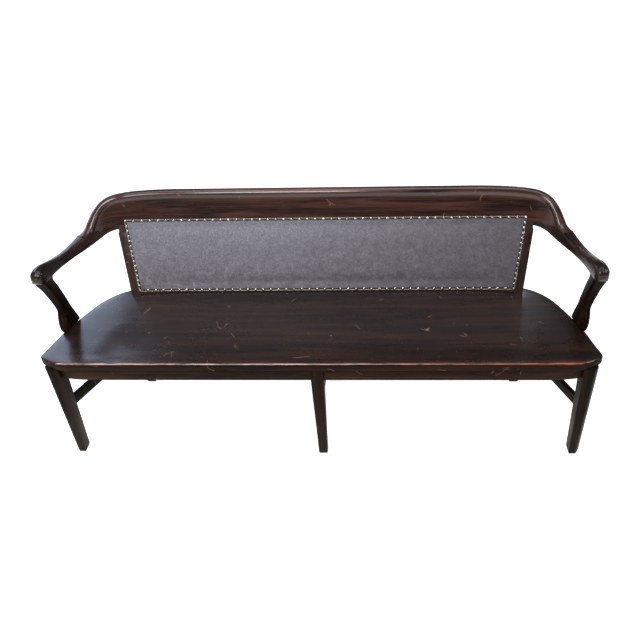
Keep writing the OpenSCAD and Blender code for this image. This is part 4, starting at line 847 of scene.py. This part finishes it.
rough = add(tree, "ShaderNodeMapRange", {"Value": blotch.outputs[0]},
            {"From Min": 0.3, "From Max": 0.7, "To Min": 0.46, "To Max": 0.6})
shader = add(tree, "ShaderNodeBsdfPrincipled",
             {"Base Color": colour, "Roughness": rough.outputs[0], "Normal": relief.outputs[0]},
             {"IOR": 1.45})
tree.links.new(shader.outputs[0], out.inputs[0])
pad.data.materials.append(leather_finish)
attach(pad, "root")
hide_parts("leather_panel", "padding")


# Edge strip: a narrow folded strip of hide under the nails. Its outer fold is tan in patches, partly rubbed
# bare and partly a painted highlight where it catches the light, and the rest is nearly black.
strip_finish, tree, out = new_material("rubbed_tan_hide_painted_highlight")
where = add(tree, "ShaderNodeTexCoord").outputs["Object"]
across = add(tree, "ShaderNodeSeparateXYZ", {0: add(tree, "ShaderNodeUVMap", uv_map="across").outputs[0]})
dirt = add(tree, "ShaderNodeTexNoise", {"Vector": where}, {"Scale": 90, "Detail": 5, "Roughness": 0.65})
# Tan along the fold: partly hide rubbed bare, partly a painted highlight where the fold catches the light
fold_tan_and_highlight = add(tree, "ShaderNodeMapRange", {"Value": across.outputs["X"]}, {"From Min": 0.42, "From Max": 0.24})
rubbed = add(tree, "ShaderNodeMapRange", {"Value": dirt.outputs[0]}, {"From Min": 0.34, "From Max": 0.52})
bare = add(tree, "ShaderNodeMath", {0: fold_tan_and_highlight.outputs[0], 1: rubbed.outputs[0]}, operation="MULTIPLY")
# The strip is paler along its foot than along its head
place = add(tree, "ShaderNodeSeparateXYZ", {0: where})
up = add(tree, "ShaderNodeMapRange", {"Value": place.outputs["Z"]}, {"From Min": 0.50, "From Max": 0.66})
tan = add(tree, "ShaderNodeMix", {0: up.outputs[0]}, {6: linear("#c2b2a0"), 7: linear("#8d7f72")},
          data_type="RGBA")
tone = add(tree, "ShaderNodeMix", {0: bare.outputs[0], 7: tan.outputs[2]}, {6: linear("#151110")},
           data_type="RGBA")
relief = add(tree, "ShaderNodeBump", {"Height": dirt.outputs[0]}, {"Strength": 0.5, "Distance": 0.001})
shader = add(tree, "ShaderNodeBsdfPrincipled", {"Base Color": tone.outputs[2], "Normal": relief.outputs[0]},
             {"Roughness": 0.55, "IOR": 1.45})
tree.links.new(shader.outputs[0], out.inputs[0])
STRIP_ARRIS = 0.4
strip = finished("folded_edge_strip", "leather_strip", strip_finish, STRIP_ARRIS)
layer = strip.data.uv_layers.new(name="across")
for loop in strip.data.loops:
    x, y, z = strip.data.vertices[loop.vertex_index].co * 1000
    y -= FRONT * 1000 + BACK_Y
    s = y * math.sin(RAKE) + (z - SEAT_H) * math.cos(RAKE)
    inside = min(leather_half(s) - abs(x), s - LEATHER_LOW, LEATHER_HIGH - s)
    layer.data[loop.index].uv = (inside / STRIP_W, 0)


# Upholstery nails: domed heads of pressed brass, hammered in side by side through the strip. Age has
# dulled them to a greyish cream, and the crown of each still glints.
nail_finish, tree, out = new_material("aged_pressed_brass")
where = add(tree, "ShaderNodeTexCoord").outputs["Object"]
tarnish = add(tree, "ShaderNodeTexNoise", {"Vector": where}, {"Scale": 90, "Detail": 3})
tone = add(tree, "ShaderNodeValToRGB", {0: tarnish.outputs[0]}, stops=[(0.35, "#8d8478"), (0.65, "#d8cfc0")])
rough = add(tree, "ShaderNodeMapRange", {"Value": tarnish.outputs[0]},
            {"From Min": 0.3, "From Max": 0.7, "To Min": 0.22, "To Max": 0.14})
shader = add(tree, "ShaderNodeBsdfPrincipled",
             {"Base Color": tone.outputs[0], "Roughness": rough.outputs[0]}, {"Metallic": 1})
tree.links.new(shader.outputs[0], out.inputs[0])
bpy.ops.object.select_all(action="DESELECT")
bpy.ops.mesh.primitive_uv_sphere_add(segments=10, ring_count=8, radius=1)
dome = bpy.context.object
bpy.ops.object.mode_set(mode="EDIT")
bpy.ops.mesh.select_all(action="SELECT")
bpy.ops.mesh.bisect(plane_co=(0, 0, 0), plane_no=(0, 0, 1), clear_inner=True, use_fill=True)
bpy.ops.mesh.select_all(action="SELECT")
bpy.ops.transform.resize(value=(NAIL_D / 2000, NAIL_D / 2000, NAIL_RISE / 1000), center_override=(0, 0, 0))
bpy.ops.object.mode_set(mode="OBJECT")
heads = []
for x, s in nails_at:
    head = bpy.data.objects.new("nail_head", dome.data.copy())
    bpy.context.scene.collection.objects.link(head)
    yaw = -math.atan(math.copysign(sag(abs(x) + 1) - sag(x), x))
    foot = in_room(on_back(x, face(x) - 2 * FACE_GAP - LEATHER_T - STRIP_T, s))
    head.data.transform(Matrix.Translation(foot) @ Matrix.Rotation(-RAKE, 4, "X")
                        @ Matrix.Rotation(yaw, 4, "Z") @ Matrix.Rotation(math.pi / 2, 4, "X"))
    heads.append(head)
bpy.data.objects.remove(dome)
nails = heads[0]
pick(nails)
for head in heads:
    head.select_set(True)
bpy.ops.object.join()
nails.name = "brass_nail_heads"
bpy.ops.object.shade_smooth_by_angle(angle=math.radians(ROUND_SMOOTH_DEG))
nails.data.materials.append(nail_finish)
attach(nails, "root")
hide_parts("upholstery_nails")
